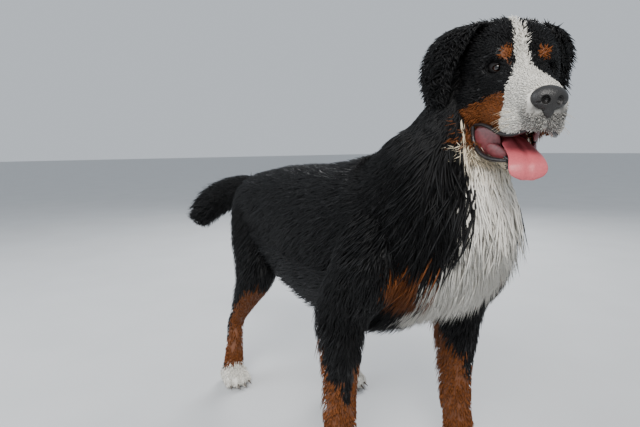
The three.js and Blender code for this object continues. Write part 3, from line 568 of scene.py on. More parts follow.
skin_pieces = [
    head_skin,
    loft("jaw", jaw_form, 24, 28),
    loft("trunk", trunk, 70, 64),
    loft("tail", tail, 30, 20),
]
for side in SIDES:
    skin_pieces += [
        loft("foreleg", fore[side], 50, 32),
        loft("hindleg", hind[side], 50, 32),
        loft("ear", ears[side], 30, 28),
    ]
    for kind in PAW_SIZE:
        skin_pieces += paw_pieces(kind, side)
skin = remeshed(joined("skin", skin_pieces), SKIN_GRAIN, 3)
skin_places = places_of(skin)
skin_places[:, 2] = np.maximum(skin_places[:, 2], SKIN_ABOVE_FLOOR)
set_places(skin, skin_places)


# Markings: each function gives a coat colour for places in the dog's or the head's frame
def mixed(base, other, share):
    return base * (1 - share[:, None]) + other * share[:, None]


def ragged(points, size):
    return points + rng.normal(0, size, points.shape)


def oval(across, height, at, half):
    return np.hypot((across - at[0]) / half[0], (height - at[1]) / half[1]) < 1


def chest_patch(x, y, z, sign):
    upper = oval(y * sign, z, (104, 428), (21, 27))
    lower = oval(y * sign, z, (80, 398), (24, 17))
    return (upper | lower) & (x > 285)


# The bib's edges at each height, and how far forward it starts
BIB_HEIGHTS = [316, 330, 360, 385, 425, 440, 472, 505, 554, 594, 658, 690, 715, 740]
BIB_RIGHT = [0, -44, -56, -56, -72, -82, -62, -54, -38, -26, -36, -30, -8, 20]
BIB_LEFT = [0, 44, 56, 60, 74, 84, 80, 80, 90, 100, 100, 84, 60, 30]
CHEST_HEIGHTS = [316, 385, 440, 472, 560, 660, 700]
CHEST_FRONT = [268, 284, 330, 355, 390, 388, 392]


def body_marks(points):
    x, y, z = ragged(points, 3).T
    colour = np.tile(BLACK, (len(x), 1))
    wide = (y > np.interp(z, BIB_HEIGHTS, BIB_RIGHT)) & (y < np.interp(z, BIB_HEIGHTS, BIB_LEFT))
    high = (z > BIB_HEIGHTS[0]) & (z < BIB_HEIGHTS[-1])
    bib = wide & high & (x > np.interp(z, CHEST_HEIGHTS, CHEST_FRONT))
    creamy = rise(z, 560, 690) * 0.7
    colour[bib] = mixed(np.tile(WHITE, (bib.sum(), 1)), CREAM, creamy[bib])
    for sign in SIDES.values():
        colour[chest_patch(x, y, z, sign)] = RUST
    return colour


def fore_marks(points, side):
    x, y, z = ragged(points, 4).T
    sign = SIDES[side]
    sole, wrist, elbow = (fore[side].table[ring, 0] for ring in (-1, 7, 4))
    ahead = x - np.interp(z, [48, WRIST_HEIGHT, ELBOW_HEIGHT], [sole, wrist, elbow])
    outward = (y - np.interp(z, [48, ELBOW_HEIGHT], [TRACK, 124]) * sign) * sign
    colour = np.tile(BLACK, (len(x), 1))
    colour[z < 250 + 60 * rise(-ahead, -5, 30) - 30 * rise(outward, 0, 25)] = RUST
    wedge = (np.abs(outward - 6) < np.interp(z, [175, 260], [3, 24])) & (ahead > 5)
    colour[wedge & (z > 178)] = BLACK
    colour[z < 56 + 16 * rise(ahead, 0, 25)] = WHITE
    colour[chest_patch(x, y, z, sign)] = RUST
    return colour


def hind_marks(points, side):
    x, y, z = ragged(points, 4).T
    rings = hind[side].table
    rings = rings[np.argsort(rings[:, 2])]
    ahead = x - np.interp(z, rings[:, 2], rings[:, 0])
    outward = (y - np.interp(z, rings[:, 2], rings[:, 1])) * SIDES[side]
    colour = np.tile(BLACK, (len(x), 1))
    colour[(z < 235 + 60 * rise(ahead, 0, 30)) & (ahead - outward * 0.35 > -8)] = RUST
    colour[(z < 120) & (z > 60)] = RUST
    colour[z < 48 + 12 * rise(ahead, 0, 25)] = WHITE
    return colour


def head_marks(points):
    x, y, z = ragged(dog_to_head(points), 1.6).T
    wide = np.abs(y)
    colour = np.tile(BLACK, (len(x), 1))
    line = np.interp(x, [-100, -80, -50, -20, 10, 40], [-118, -104, -84, -62, -44, -36])
    cheek = (z < line) & (z > -134) & (x < 62) & (x > -96)
    colour[cheek] = RUST
    brow = oval(wide, z, (28, 21), (8.5, 9))
    colour[brow & (x > -20)] = RUST * 1.2
    blaze = np.interp(x, [-70, -30, 0, 20, 34, 50, 64], [6, 7, 8, 11, 20, 32, 60])
    middle = -4 * (1 - rise(x, 20, 50))
    colour[(np.abs(y - middle) < blaze) & (x > -72) & (z > -70)] = WHITE
    muzzle = (x > 55 - 0.05 * (z + 40)) & (z > -112)
    colour[muzzle] = WHITE
    dusk = muzzle * rise(x, 84, 116) * rise(-z, 34, 62) * rng.uniform(0.55, 1, len(x))
    colour = mixed(colour, GREY, dusk)
    colour[(z < -122) & (x > -20)] = WHITE * 0.35 + CREAM * 0.65
    colour[(z < -104) & (x > 52)] = GREY * 0.8
    colour[(z < -126) & (x <= -20) & (wide < 46)] = CREAM
    return colour


def all_black(points):
    return np.tile(BLACK, (len(points), 1))


# Coat: closed tapering tufts whose rings follow the lie of the hair
TUFT_PROFILE = {3: (0.6, 1.0, 0.0), 4: (0.55, 1.0, 0.72, 0.0)}
TUFT_RIDGE = 0.8
TUFT_PATCH = 0.003
coat_pieces, root_places, root_colours = [], [], []


def tuft_faces(tip):
    """the closed faces of one tuft: rings of three corners, and last the tip"""
    faces = [(0, 1, 2)]
    for a in range(0, tip - 3, 3):
        for i in range(3):
            j = (i + 1) % 3
            faces += [(a + i, a + 3 + i, a + 3 + j), (a + i, a + 3 + j, a + j)]
    return faces + [(tip - 3 + i, tip, tip - 3 + (i + 1) % 3) for i in range(3)]


def painted(mesh, name, kind, key, values):
    layer = mesh.attributes.new(name, kind, "POINT")
    layer.data.foreach_set(key, values.astype(np.float32).ravel())


def tufts(name, paths, normals, widths, colours, unwrap):
    """paths (steps, N, 3) in millimetres from root to tip, one closed tuft for each"""
    steps, count = paths.shape[:2]
    ahead = np.gradient(paths, axis=0)
    ahead /= np.maximum(np.linalg.norm(ahead, axis=2, keepdims=True), 1e-6)
    across = np.cross(ahead, normals[None])
    across /= np.maximum(np.linalg.norm(across, axis=2, keepdims=True), 1e-6)
    ridge = np.cross(across, ahead)
    rings = []
    for path, beside, over, share in zip(paths[:-1], across, ridge, TUFT_PROFILE[steps]):
        reach = (widths * share / 2)[:, None]
        rings += [path - beside * reach, path + beside * reach, path + over * reach * TUFT_RIDGE]
    points = np.stack([*rings, paths[-1]], 1).reshape(-1, 3)
    points[:, 2] = np.maximum(points[:, 2], HAIR_ABOVE_FLOOR)
    per = len(rings) + 1
    pattern = np.array(tuft_faces(per - 1))
    faces = (pattern[None] + (np.arange(count) * per)[:, None, None]).reshape(-1, 3)
    made = mesh_object(name, to_scene(points), faces)
    mesh = made.data
    mesh.polygons.foreach_set("use_smooth", np.ones(len(faces), bool))
    # Place across and along the tuft, and its own seed, for the strands in its finish
    side = np.append(np.tile([-1.0, 1.0, 0.0], steps - 1), 0.0)
    run = np.append(np.repeat(np.arange(steps - 1) / (steps - 1), 3), 1.0)
    spread = np.tile(side, count) * np.repeat(widths, per) * 0.5
    strand = np.stack([spread, np.tile(run, count), np.repeat(rng.random(count), per)], 1)
    painted(mesh, "strand", "FLOAT_VECTOR", "vector", strand)
    tone = np.ones((count * per, 4))
    tone[:, :3] = np.repeat(colours, per, 0)
    painted(mesh, "coat_colour", "FLOAT_COLOR", "color", tone)
    patch = np.stack([side * TUFT_PATCH / 2, run * TUFT_PATCH], 1)
    spots = (unwrap[:, None] + patch[None]).reshape(-1, 2)
    layer = mesh.uv_layers.new(name="OFBake")
    layer.data.foreach_set("uv", np.clip(spots[faces.ravel()], 0, 1).astype(np.float32).ravel())
    coat_pieces.append(made)
    root_places.append(to_scene(paths[0]))
    root_colours.append(colours)


def sown(form, count, low=0.0, high=1.0, keep=None):
    """roots spread evenly over a form's skin: t, angle"""
    cells = 90
    t, angle = np.meshgrid(
        low + (high - low) * (np.arange(cells) + 0.5) / cells,
        2 * np.pi * (np.arange(cells) + 0.5) / cells,
        indexing="ij",
    )
    t, angle = t.ravel(), angle.ravel()
    along, around = form.slopes(t, angle)
    weight = np.linalg.norm(np.cross(along, around), axis=1)
    if keep is not None:
        weight = weight * keep(form.point(t, angle), t, angle)
    chosen = rng.choice(len(t), count, p=weight / weight.sum())
    t = t[chosen] + (rng.random(count) - 0.5) * (high - low) / cells
    angle = angle[chosen] + (rng.random(count) - 0.5) * 2 * np.pi / cells
    return np.clip(t, 0, 1), angle


def long_coat(
    name, form, count, lie, length, width, marks, span=(0.0, 1.0), keep=None,
    wave=0.16, steps=3, stand=0.3, flat=None, full=0.35, past=0.0,
):
    """full: share of the coat's depth that the lowest tips reach; past: how far tips pass the form's end"""
    t, angle = sown(form, count, *span, keep)
    start_t, start_angle = t.copy(), angle.copy()
    long = length(t, angle) * rng.uniform(0.75, 1.2, count)
    deep = form.coat(t, angle)
    top = rng.uniform(full, 1.0, count) ** 0.8
    sway = rng.normal(0, wave, (count, 3))
    if flat is not None:
        pressed = flat(form.point(t, angle))
        top, long = top * pressed, long * (0.4 + 0.6 * pressed)
    clump = 0.35 * np.sin(start_angle * 9 + 6 * np.sin(start_t * 60)) + 0.25 * np.sin(start_t * 130)
    along, around = form.slopes(t, angle)
    normal = unit(np.cross(along, around))
    inner = form.point(t, angle) - form.move(form.ring(t)[:, :3])
    normal *= np.sign((normal * inner).sum(1))[:, None]
    path = [form.point(t, angle, -1.5)]
    tip_way = unit(np.diff(form.move(form.ring(np.array([0.96, 1.0]))[:, :3]), axis=0))
    beyond = np.zeros(count)
    strides = 12 // steps
    pace = long / (steps - 1) / strides
    for k in range(1, steps):
        for _ in range(strides):
            heading = unit(lie(form.point(t, angle), t, angle)) + sway
            heading += unit(around) * (clump * wave)[:, None]
            dt, da = form.stride(t, angle, unit(heading))
            beyond += np.maximum(t + dt * pace - 1, 0) / np.maximum(np.abs(dt), 1e-5)
            t, angle = np.clip(t + dt * pace, 0, 1), angle + da * pace
        share = k / (steps - 1)
        reach = np.maximum(deep, form.coat(t, angle) * 0.9)
        lift = reach * top * (stand + (1 - stand) * share)
        path.append(form.point(t, angle, lift) + tip_way * np.minimum(beyond, past)[:, None])
    # A tuft that came out stretched across a hollow is left out
    whole = np.linalg.norm(path[-1] - path[0], axis=1) < 1.15 * long + 14 + 0.5 * deep
    paths = np.stack(path)[:, whole]
    count = int(whole.sum())
    colours = marks((paths[-1] + paths[-2]) / 2) * rng.uniform(0.88, 1.08, (count, 1))
    unwrap = np.stack([np.mod(start_angle / (2 * np.pi), 1), start_t], 1)[whole] * 0.99
    tufts(name, paths, normal[whole], width * rng.uniform(0.7, 1.3, count), colours, unwrap)


# Which way the hair lies and how long it is, back along the trunk and down the ruff, legs and ears
def body_lie(p, t, angle):
    flank = np.abs(np.sin(angle)) * np.where(np.cos(angle) > -0.3, 0.6, 0.1)
    back = np.stack([np.full_like(t, -0.8), 0 * t, -0.05 - flank], 1)
    ruff = np.stack([-0.15 - 0.45 * (0.5 + 0.5 * np.cos(angle)), 0 * t, np.full_like(t, -0.9)], 1)
    share = rise(t * TRUNK_LAST, 7.2, 9)[:, None]
    return back * (1 - share) + ruff * share


def body_length(t, angle):
    under, over = np.maximum(0, -np.cos(angle)), np.maximum(0, np.cos(angle))
    station = t * TRUNK_LAST
    base = 58 + 22 * under + 18 * rise(station, 8, 9.5)
    nape = 1 - 0.5 * over * rise(station, 7.8, 8.8)
    return base * nape * (1 - 0.3 * rise(station, 10.5, 12)) * (0.8 + 0.2 * rise(station, 1, 4))


def leg_lie(p, t, angle):
    back = 0.42 * (1 - rise(t, 0.45, 0.7))
    return np.stack([-back, 0 * t, np.full_like(t, -0.95)], 1)


def tail_lie(p, t, angle):
    along = tail.ring(np.clip(t + 0.02, 0, 1))[:, :3] - tail.ring(np.clip(t - 0.02, 0, 1))[:, :3]
    return unit(along) + np.array([0, 0, -0.35])


def ear_lie(p, t, angle):
    back = 0.5 + 0.5 * np.maximum(0, -np.cos(angle))
    local = np.stack([-back * 0.7, 0 * t, np.full_like(t, -0.9)], 1)
    return local @ HEAD.T


def clear_of_head(p, t, angle):
    x, y, z = dog_to_head(p).T
    wide = np.abs(y)
    inside = (x > -120) & (wide < 62) & (z > -80) & (z < 60)
    mouth = (x > -40) & (wide < 70) & (z > -142)
    return ~(inside | mouth)


# The coat lies flatter under the ears and round the jaw
def pressed_by_head(p):
    x, y, z = dog_to_head(p).T
    wide = np.abs(y)
    ear = rise(x, -150, -120) * rise(wide, 40, 60) * rise(z, -125, -95)
    jaw = rise(x, -110, -70) * (1 - rise(x, -5, 25)) * (1 - rise(wide, 84, 110)) * rise(z, -185, -150)
    return 1 - 0.72 * np.maximum(ear, jaw)


# The trunk's coat in lengths: first and last station, tufts, steps in each, and the lowest tips' depth
TRUNK_COAT = [
    ("rump", 0.0, 2.9, 10000, 3, 0.35),
    ("loin", 2.9, 4.9, 11000, 3, 0.35),
    ("barrel", 4.9, 6.7, 11000, 3, 0.35),
    ("shoulder", 6.7, 8.3, 8500, 4, 0.4),
    ("chest", 8.3, 9.5, 9500, 4, 0.6),
    ("neck", 9.5, 12.0, 9500, 4, 0.6),
]
for name, low, high, count, steps, full in TRUNK_COAT:
    span = (low / TRUNK_LAST, high / TRUNK_LAST)
    long_coat(
        f"coat_{name}", trunk, count, body_lie, body_length, 3.7, body_marks, span, clear_of_head,
        steps=steps, flat=pressed_by_head, full=full,
    )
long_coat(
    "coat_tail", tail, 4500, tail_lie, even(66), 3.3, all_black, wave=0.4, steps=4, past=30, full=0.65
)


def ear_length(t, angle):
    return 20 + 30 * np.maximum(0, -np.cos(angle)) ** 2


def fore_length(t, angle):
    behind = np.maximum(0, -np.cos(angle)) ** 2 * rise(t, 0.2, 0.4) * (1 - rise(t, 0.6, 0.75))
    return 15 + 36 * (1 - rise(t, 0.35, 0.6)) + 26 * behind


def hind_length(t, angle):
    return 13 + 42 * (1 - rise(t, 0.3, 0.62))


for side in SIDES:
    long_coat(
        f"coat_ear_{side}", ears[side], 3600, ear_lie, ear_length, 3.0, all_black,
        wave=0.42, steps=4, stand=0.45, past=10, full=0.6,
    )
    long_coat(
        f"coat_foreleg_{side}", fore[side], 5000, leg_lie, fore_length, 3.1,
        lambda p, side=side: fore_marks(p, side), (0.0, 0.99), wave=0.12,
    )
    long_coat(
        f"coat_hindleg_{side}", hind[side], 5200, leg_lie, hind_length, 3.1,
        lambda p, side=side: hind_marks(p, side), (0.02, 0.99), wave=0.12,
    )


# Longer hair fills the space between each ear and the skull
nape_form = Form(SHAPE, HEAD_ROWS, even(26), head_to_dog)


def nape_lie(p, t, angle):
    sign = np.sign(dog_to_head(p)[:, 1])
    return np.stack([np.full_like(t, -0.6), 0.2 * sign, np.full_like(t, -0.7)], 1) @ HEAD.T


def behind_ear(p, t, angle):
    x, y, z = dog_to_head(p).T
    return (x < -52) & (x > -125) & (np.abs(y) > 48) & (z > -70) & (z < 44)


long_coat("coat_nape", nape_form, 2500, nape_lie, even(34), 3.0, all_black, (0.08, 0.34), behind_ear, 0.3)


# Short coat: small tufts rooted in the skin's own faces
def short_coat(name, inside, count, lie, length, width, lean, marks, unwrap):
    mesh = skin.data
    mesh.calc_loop_triangles()
    corners = np.zeros(len(mesh.loop_triangles) * 3, np.int32)
    mesh.loop_triangles.foreach_get("vertices", corners)
    a, b, c = to_dog(skin_places)[corners.reshape(-1, 3).T]
    span = np.cross(b - a, c - a)
    area = np.linalg.norm(span, axis=1)
    weight = area * inside((a + b + c) / 3, unit(span))
    chosen = rng.choice(len(area), count, p=weight / weight.sum())
    part, other = rng.random((2, count, 1))
    flip = part + other > 1
    part, other = np.where(flip, 1 - part, part), np.where(flip, 1 - other, other)
    root = a[chosen] + (b - a)[chosen] * part + (c - a)[chosen] * other
    normal = unit(span[chosen])
    heading = lie(root)
    along = heading - normal * (heading * normal).sum(1)[:, None]
    heading = unit(along + rng.normal(0, 0.14, (count, 3)))
    long = heading * (length(root) * rng.uniform(0.75, 1.2, count))[:, None]
    up = normal * (lean(root) * rng.uniform(0.5, 1.1, count))[:, None]
    paths = np.stack([root - normal, root + long * 0.45 + up * 0.85, root + long + up * 0.9])
    colours = marks(root) * rng.uniform(0.85, 1.12, (count, 1))
    tufts(name, paths, normal, width * rng.uniform(0.75, 1.25, count), colours, unwrap(root))


def head_unwrap(p):
    x, y, z = dog_to_head(p).T
    round_share = np.arctan2(y, z + 30) / (2 * np.pi) + 0.5
    return np.stack([round_share, np.clip((x + 160) / 300, 0, 1)], 1) * 0.99


def foot_unwrap(p):
    centre = np.where(p[:, 0] > MIDDLE_X, 250, -210)
    round_share = np.arctan2(p[:, 1], p[:, 0] - centre) / (2 * np.pi) + 0.5
    return np.stack([round_share, np.clip(p[:, 2] / 200, 0, 1)], 1) * 0.99


# The lips' edges in the head's frame: x, outward, z and a share of the thickness
UPPER_LIP = [
    (-18, 59, -92, 0.7),
    (8, 53, -86, 1),
    (32, 46, -91, 1),
    (60, 40, -98, 1),
    (86, 31, -95, 1),
    (102, 18, -86, 1),
    (108, 0, -74, 0.7),
]
LOWER_LIP = [
    (-18, 59, -92, 0.8),
    (-19, 59, -114, 1),
    (-4, 54, -131, 1),
    (20, 45, -140, 1),
    (44, 36, -139, 1),
    (62, 27, -136, 0.6),
]


def swept(way, count):
    way = np.array(way)[:, :3]
    along = np.linspace(0, len(way) - 1, count)
    return np.stack([np.interp(along, np.arange(len(way)), way[:, k]) for k in range(3)], 1)


def on_face(p, normal):
    local = dog_to_head(p)
    x, y, z = local.T
    wide = np.abs(y)
    head = (x > -150) & (z > -150) & (wide < 84) & ((x > -112) | (z > -66))
    ear = (x < -40) & (wide > 58) & (z > -90)
    eye = np.sqrt((x + 3) ** 2 + (wide - 37) ** 2 + (z + 1) ** 2) < 14
    pad = (x > 108) & (wide < 26) & (z > -60) & (z < -22)
    lips = np.zeros(len(x), bool)
    for spot in np.vstack([swept(UPPER_LIP, 30), swept(LOWER_LIP, 30)]):
        lips |= (x - spot[0]) ** 2 + (wide - spot[1]) ** 2 + (z - spot[2]) ** 2 < 14
    bare = ear | eye | pad | lips | in_mouth(local)
    return (head & ~bare) * (1 + 1.6 * (x > -20))


def in_mouth(local):
    x, y, z = local.T
    wide = np.abs(y)
    gap = np.interp(x, [-30, -12, 40, 84, 94, 102], [20, 31, 33, 28, 21, 10])
    roof = (x > -34) & (x < 100) & (wide < gap) & (z < -66) & (z > -98)
    jaw_x, _, jaw_z = shut(local).T
    bottom = (jaw_z > -96) & (jaw_z < -70) & (jaw_x > -34) & (wide < 30) & (z < -88)
    return roof | bottom


def face_lie(p):
    x, y, z = dog_to_head(p).T
    sign = np.sign(y)
    outward = 0.25 * sign
    outward += 0.3 * sign * rise(x, 20, 60)
    return np.stack([np.full_like(x, -1.0), outward, -0.15 - 0.55 * rise(-z, 10, 90)], 1) @ HEAD.T


def face_length(p):
    x, _, z = dog_to_head(p).T
    return 6 + 12 * rise(-x, -30, 60) + 16 * rise(-z, 70, 120) * rise(-x, -60, 20)


def face_lean(p):
    return 1.5 + 3.2 * rise(-dog_to_head(p)[:, 0], -30, 60)


# Two layers, because one piece with as many tufts would be too large
for layer in ("fine", "over"):
    short_coat(
        f"coat_face_{layer}", on_face, 11000, face_lie, face_length, 1.75, face_lean, head_marks, head_unwrap
    )


def foot_marks(p):
    colour = np.tile(WHITE, (len(p), 1))
    front = p[:, 0] > MIDDLE_X
    for side, sign in SIDES.items():
        here = p[:, 1] * sign > 0
        colour[front & here] = fore_marks(p[front & here], side)
        colour[~front & here] = hind_marks(p[~front & here], side)
    return colour


def on_foot(p, normal):
    return (p[:, 2] < 100) & (p[:, 2] > 3) & (normal[:, 2] > -0.5)


foot_lie = even(np.array([0.55, 0.0, -0.8]))
short_coat("coat_feet", on_foot, 4500, foot_lie, even(9), 2.7, even(2.2), foot_marks, foot_unwrap)


# The rump's end, under the tail
def on_seat(p, normal):
    x, y, z = p.T
    return (x < -372) & (np.abs(y) < 70) & (z > 420) & (z < 610)


def seat_unwrap(p):
    return np.stack([p[:, 1] / 300 + 0.5, p[:, 2] / 900], 1)


seat_lie = even(np.array([-0.4, 0.0, -0.9]))
short_coat("coat_seat", on_seat, 2000, seat_lie, even(34), 3.0, even(13), all_black, seat_unwrap)

# The skin takes the colour of the nearest root of a hair, darkened a little as painted shade deep in the
# coat, and the mouth is red
HAIR_SAMPLE = 30000
SKIN_PAINTED_SHADE = 0.8
MOUTH_RED = (0.10, 0.012, 0.012)
places, tones = np.vstack(root_places), np.vstack(root_colours)
sample = rng.choice(len(places), HAIR_SAMPLE, replace=False)
roots = kdtree.KDTree(len(sample))
for i, place in enumerate(places[sample]):
    roots.insert(place, i)
roots.balance()
nearest = [roots.find(place)[1] for place in skin_places]
skin_tone = np.ones((len(skin_places), 4))
# The skin is made darker than the hair above it: painted shade for the depth of the coat
skin_tone[:, :3] = tones[sample][nearest] * SKIN_PAINTED_SHADE
skin_tone[in_mouth(dog_to_head(to_dog(skin_places))), :3] = MOUTH_RED
painted(skin.data, "coat_colour", "FLOAT_COLOR", "color", skin_tone)


# Finishes
def set_inputs(node, values):
    for key, value in values.items():
        node.inputs[key.replace("_", " ")].default_value = value


def material(name, **values):
    made = bpy.data.materials.new(name)
    made.use_nodes = True
    shader = made.node_tree.nodes["Principled BSDF"]
    set_inputs(shader, values)
    return made, made.node_tree, shader


def node_with(tree, kind, **values):
    node = tree.nodes.new(kind)
    set_inputs(node, values)
    return node


def attribute(tree, name):
    node = tree.nodes.new("ShaderNodeAttribute")
    node.attribute_name = name
    return node.outputs


def object_place(tree):
    return tree.nodes.new("ShaderNodeTexCoord").outputs["Object"]


def stretched(tree, source, by):
    node = tree.nodes.new("ShaderNodeVectorMath")
    node.operation = "MULTIPLY"
    node.inputs[1].default_value = by
    tree.links.new(source, node.inputs[0])
    return node.outputs[0]


def textured(tree, kind, source, output, **values):
    node = node_with(tree, kind, **values)
    tree.links.new(source, node.inputs["Vector"])
    return node.outputs[output]


def ramped(tree, source, shader, stops):
    ramp = tree.nodes.new("ShaderNodeValToRGB")
    first, last = ramp.color_ramp.elements
    for stop, (at, colour) in ((first, stops[0]), (last, stops[-1])):
        stop.position = at
        stop.color = (*colour, 1)
    for at, colour in stops[1:-1]:
        ramp.color_ramp.elements.new(at).color = (*colour, 1)
    tree.links.new(source, ramp.inputs["Fac"])
    tree.links.new(ramp.outputs["Color"], shader.inputs["Base Color"])


def bumped(tree, shader, height, strength, distance):
    bump = node_with(tree, "ShaderNodeBump", Strength=strength, Distance=distance)
    tree.links.new(height, bump.inputs["Height"])
    tree.links.new(bump.outputs["Normal"], shader.inputs["Normal"])


# Each tuft shows fine strands, darker and lighter than its own colour
def coat_material():
    made, tree, shader = material("coat", Roughness=0.5, Specular_IOR_Level=0.22)
    strand = stretched(tree, attribute(tree, "strand")["Vector"], (3.2, 1.2, 60.0))
    hairs = textured(tree, "ShaderNodeTexNoise", strand, "Fac", Scale=1.0, Detail=2.0)
    ramp = node_with(tree, "ShaderNodeMapRange", To_Min=0.62, To_Max=1.3)
    tree.links.new(hairs, ramp.inputs["Value"])
    shade = tree.nodes.new("ShaderNodeVectorMath")
    shade.operation = "SCALE"
    tree.links.new(attribute(tree, "coat_colour")["Color"], shade.inputs[0])
    tree.links.new(ramp.outputs[0], shade.inputs["Scale"])
    tree.links.new(shade.outputs[0], shader.inputs["Base Color"])
    bumped(tree, shader, hairs, 0.7, 0.0012)
    return made


def skin_material():
    made, tree, shader = material("skin", Roughness=0.6)
    tree.links.new(attribute(tree, "coat_colour")["Color"], shader.inputs["Base Color"])
    place = stretched(tree, object_place(tree), (260.0, 900.0, 900.0))
    hairs = textured(tree, "ShaderNodeTexNoise", place, "Fac", Scale=1.0, Detail=3.0)
    bumped(tree, shader, hairs, 0.6, 0.001)
    return made


def plain_material(name, colour, roughness, grain, strength, distance=0.001, spread=0.25, **values):
    made, tree, shader = material(name, Roughness=roughness, **values)
    cloud = textured(tree, "ShaderNodeTexNoise", object_place(tree), "Fac", Scale=grain, Detail=4.0)
    dark = [c * (1 - spread) for c in colour]
    light = [min(c * (1 + spread), 1) for c in colour]
    ramped(tree, cloud, shader, [(0.3, dark), (0.7, light)])
    bumped(tree, shader, cloud, strength, distance)
    return made


def nose_material():
    made, tree, shader = material("nose leather", Roughness=0.42, Base_Color=(0.014, 0.013, 0.0125, 1))
    pebbles = textured(tree, "ShaderNodeTexVoronoi", object_place(tree), "Distance", Scale=620.0)
    bumped(tree, shader, pebbles, 0.45, 0.0008)
    return made


# The iris attribute is 0 at the middle of the pupil and 1 well out on the white
def eye_material():
    made, tree, shader = material("eye", Roughness=0.04, Coat_Weight=1.0, Coat_Roughness=0.02)
    stops = [
        (0.0, (0.002, 0.002, 0.002)),
        (0.34, (0.002, 0.002, 0.002)),
        (0.38, (0.030, 0.010, 0.004)),
        (0.70, (0.016, 0.006, 0.003)),
        (0.80, (0.003, 0.002, 0.002)),
        (0.88, (0.06, 0.04, 0.03)),
        (1.0, (0.10, 0.07, 0.055)),
    ]
    ramped(tree, attribute(tree, "iris")["Fac"], shader, stops)
    return made


coat_look = coat_material()
skin_look = skin_material()
nose_look = nose_material()
lip_look = plain_material("lip", (0.014, 0.011, 0.011), 0.32, 260, 0.4)
gum_look = plain_material("gum", (0.15, 0.028, 0.032), 0.42, 200, 0.35)
tongue_look = plain_material("tongue", (0.50, 0.10, 0.115), 0.42, 420, 0.4, 0.0008, 0.12)
tooth_look = plain_material("tooth", (0.75, 0.70, 0.55), 0.25, 150, 0.1)
claw_look = plain_material("claw", (0.10, 0.08, 0.065), 0.35, 200, 0.2)
whisker_look = plain_material("whisker", (0.55, 0.45, 0.30), 0.4, 300, 0.05)
lid_look = plain_material("lid", (0.006, 0.005, 0.005), 0.6, 300, 0.3, Specular_IOR_Level=0.2)
eye_look = eye_material()


def finished(thing, look, slot, *nodes):
    thing.data.materials.clear()
    thing.data.materials.append(look)
    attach(thing, "root")
    if nodes:
        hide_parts(*nodes)


LIMB_NODES = ["upper_arm", "forearm", "forepaw", "thigh", "shank", "hindpaw", "ear"]
flesh = ["head", "lower_jaw", "neck", "torso", "tail"]
flesh += [f"{node}_{side}" for node in LIMB_NODES for side in SIDES]
finished(skin, skin_look, "coat", *flesh)
for piece in coat_pieces:
    finished(piece, coat_look, "coat")

# Eyes, each with its iris turned a little outward, and the lids round it
LID_HALF = (13.8, 13.8, 13.2)
IRIS_SPREAD = 60  # degrees from the middle of the pupil


def eye(side, sign):
    at = EYE_AT * np.array([1, sign, 1])
    gaze = unit(np.array([1.0, 0.30 * sign, 0.0]))
    made = ball(f"eyeball_{side}", at, [EYE_RADIUS - 0.3] * 3, segments=(40, 28))
    local = dog_to_head(to_dog(places_of(made))) - at
    off = np.degrees(np.arccos(np.clip(unit(local) @ gaze, -1, 1))) / IRIS_SPREAD
    painted(made.data, "iris", "FLOAT", "value", np.clip(off, 0, 1))
    finished(made, eye_look, "eye", f"eye_{side}")
    lids = ball(f"lids_{side}", at, LID_HALF, segments=(40, 28))
    cut(lids, ball("opening", at + [11, 1.5 * sign, -0.5], (13, 9.6, 5.4), (0, -4, 16 * sign)))
    cut(lids, ball("inside", at, [EYE_RADIUS] * 3, segments=(40, 28)))
    finished(lids, lid_look, "coat")


for side, sign in SIDES.items():
    eye(side, sign)


# Nose pad with nostrils, slits and the groove below
def nose_pad():
    upper = ball("pad", (115, 0, -41), (16, 25.5, 17.5), (0, 14, 0))
    lower = ball("pad_low", (116, 0, -56), (10, 8, 12))
    pad = remeshed(joined("nose_pad", [upper, lower]), 0.0012, 4)
    for sign in SIDES.values():
        cut(pad, ball("nostril", (131, 11.5 * sign, -43), (11, 6, 6.5), (0, 0, 35 * sign)))
        cut(pad, ball("slit", (126, 20 * sign, -47), (9, 5, 1.8), (0, -12, -55 * sign)))
    cut(pad, ball("groove", (133, 0, -62), (8, 1.6, 22)))
    remeshed(pad, 0.0009, 3)
    finished(pad, nose_look, "nose_leather", "nose")


# Tongue with a groove down the middle of its upper face
TONGUE_RINGS, TONGUE_SIDES = 60, 40
GROOVE_WIDTH, GROOVE_DEPTH = 3.2, 2.4
GROOVE_X, GROOVE_Y = [-22, 10, 50, 84, 101, 109], [0, -1, -3, -8, -11, -13]


def grooved_tongue():
    made = loft("tongue_long", tongue_form, TONGUE_RINGS, TONGUE_SIDES)
    local = dog_to_head(to_dog(places_of(made)))
    rings = tongue_form.ring(np.linspace(0, 1, TONGUE_RINGS + 1).repeat(TONGUE_SIDES))
    tilt = np.radians(rings[:, 3])
    upward = np.stack([-np.sin(tilt), 0 * tilt, np.cos(tilt)], 1)
    around = np.tile(np.arange(TONGUE_SIDES) * 2 * np.pi / TONGUE_SIDES, TONGUE_RINGS + 1)
    walls = slice(0, len(rings))
    off_middle = local[walls, 1] - np.interp(local[walls, 0], GROOVE_X, GROOVE_Y)
    groove = np.exp(-((off_middle / GROOVE_WIDTH) ** 2)) * (np.cos(around) > 0.2)
    local[walls] -= upward * (groove * GROOVE_DEPTH)[:, None]
    set_places(made, to_scene(head_to_dog(local)))
    finished(made, tongue_look, "tongue", "tongue")


nose_pad()
grooved_tongue()


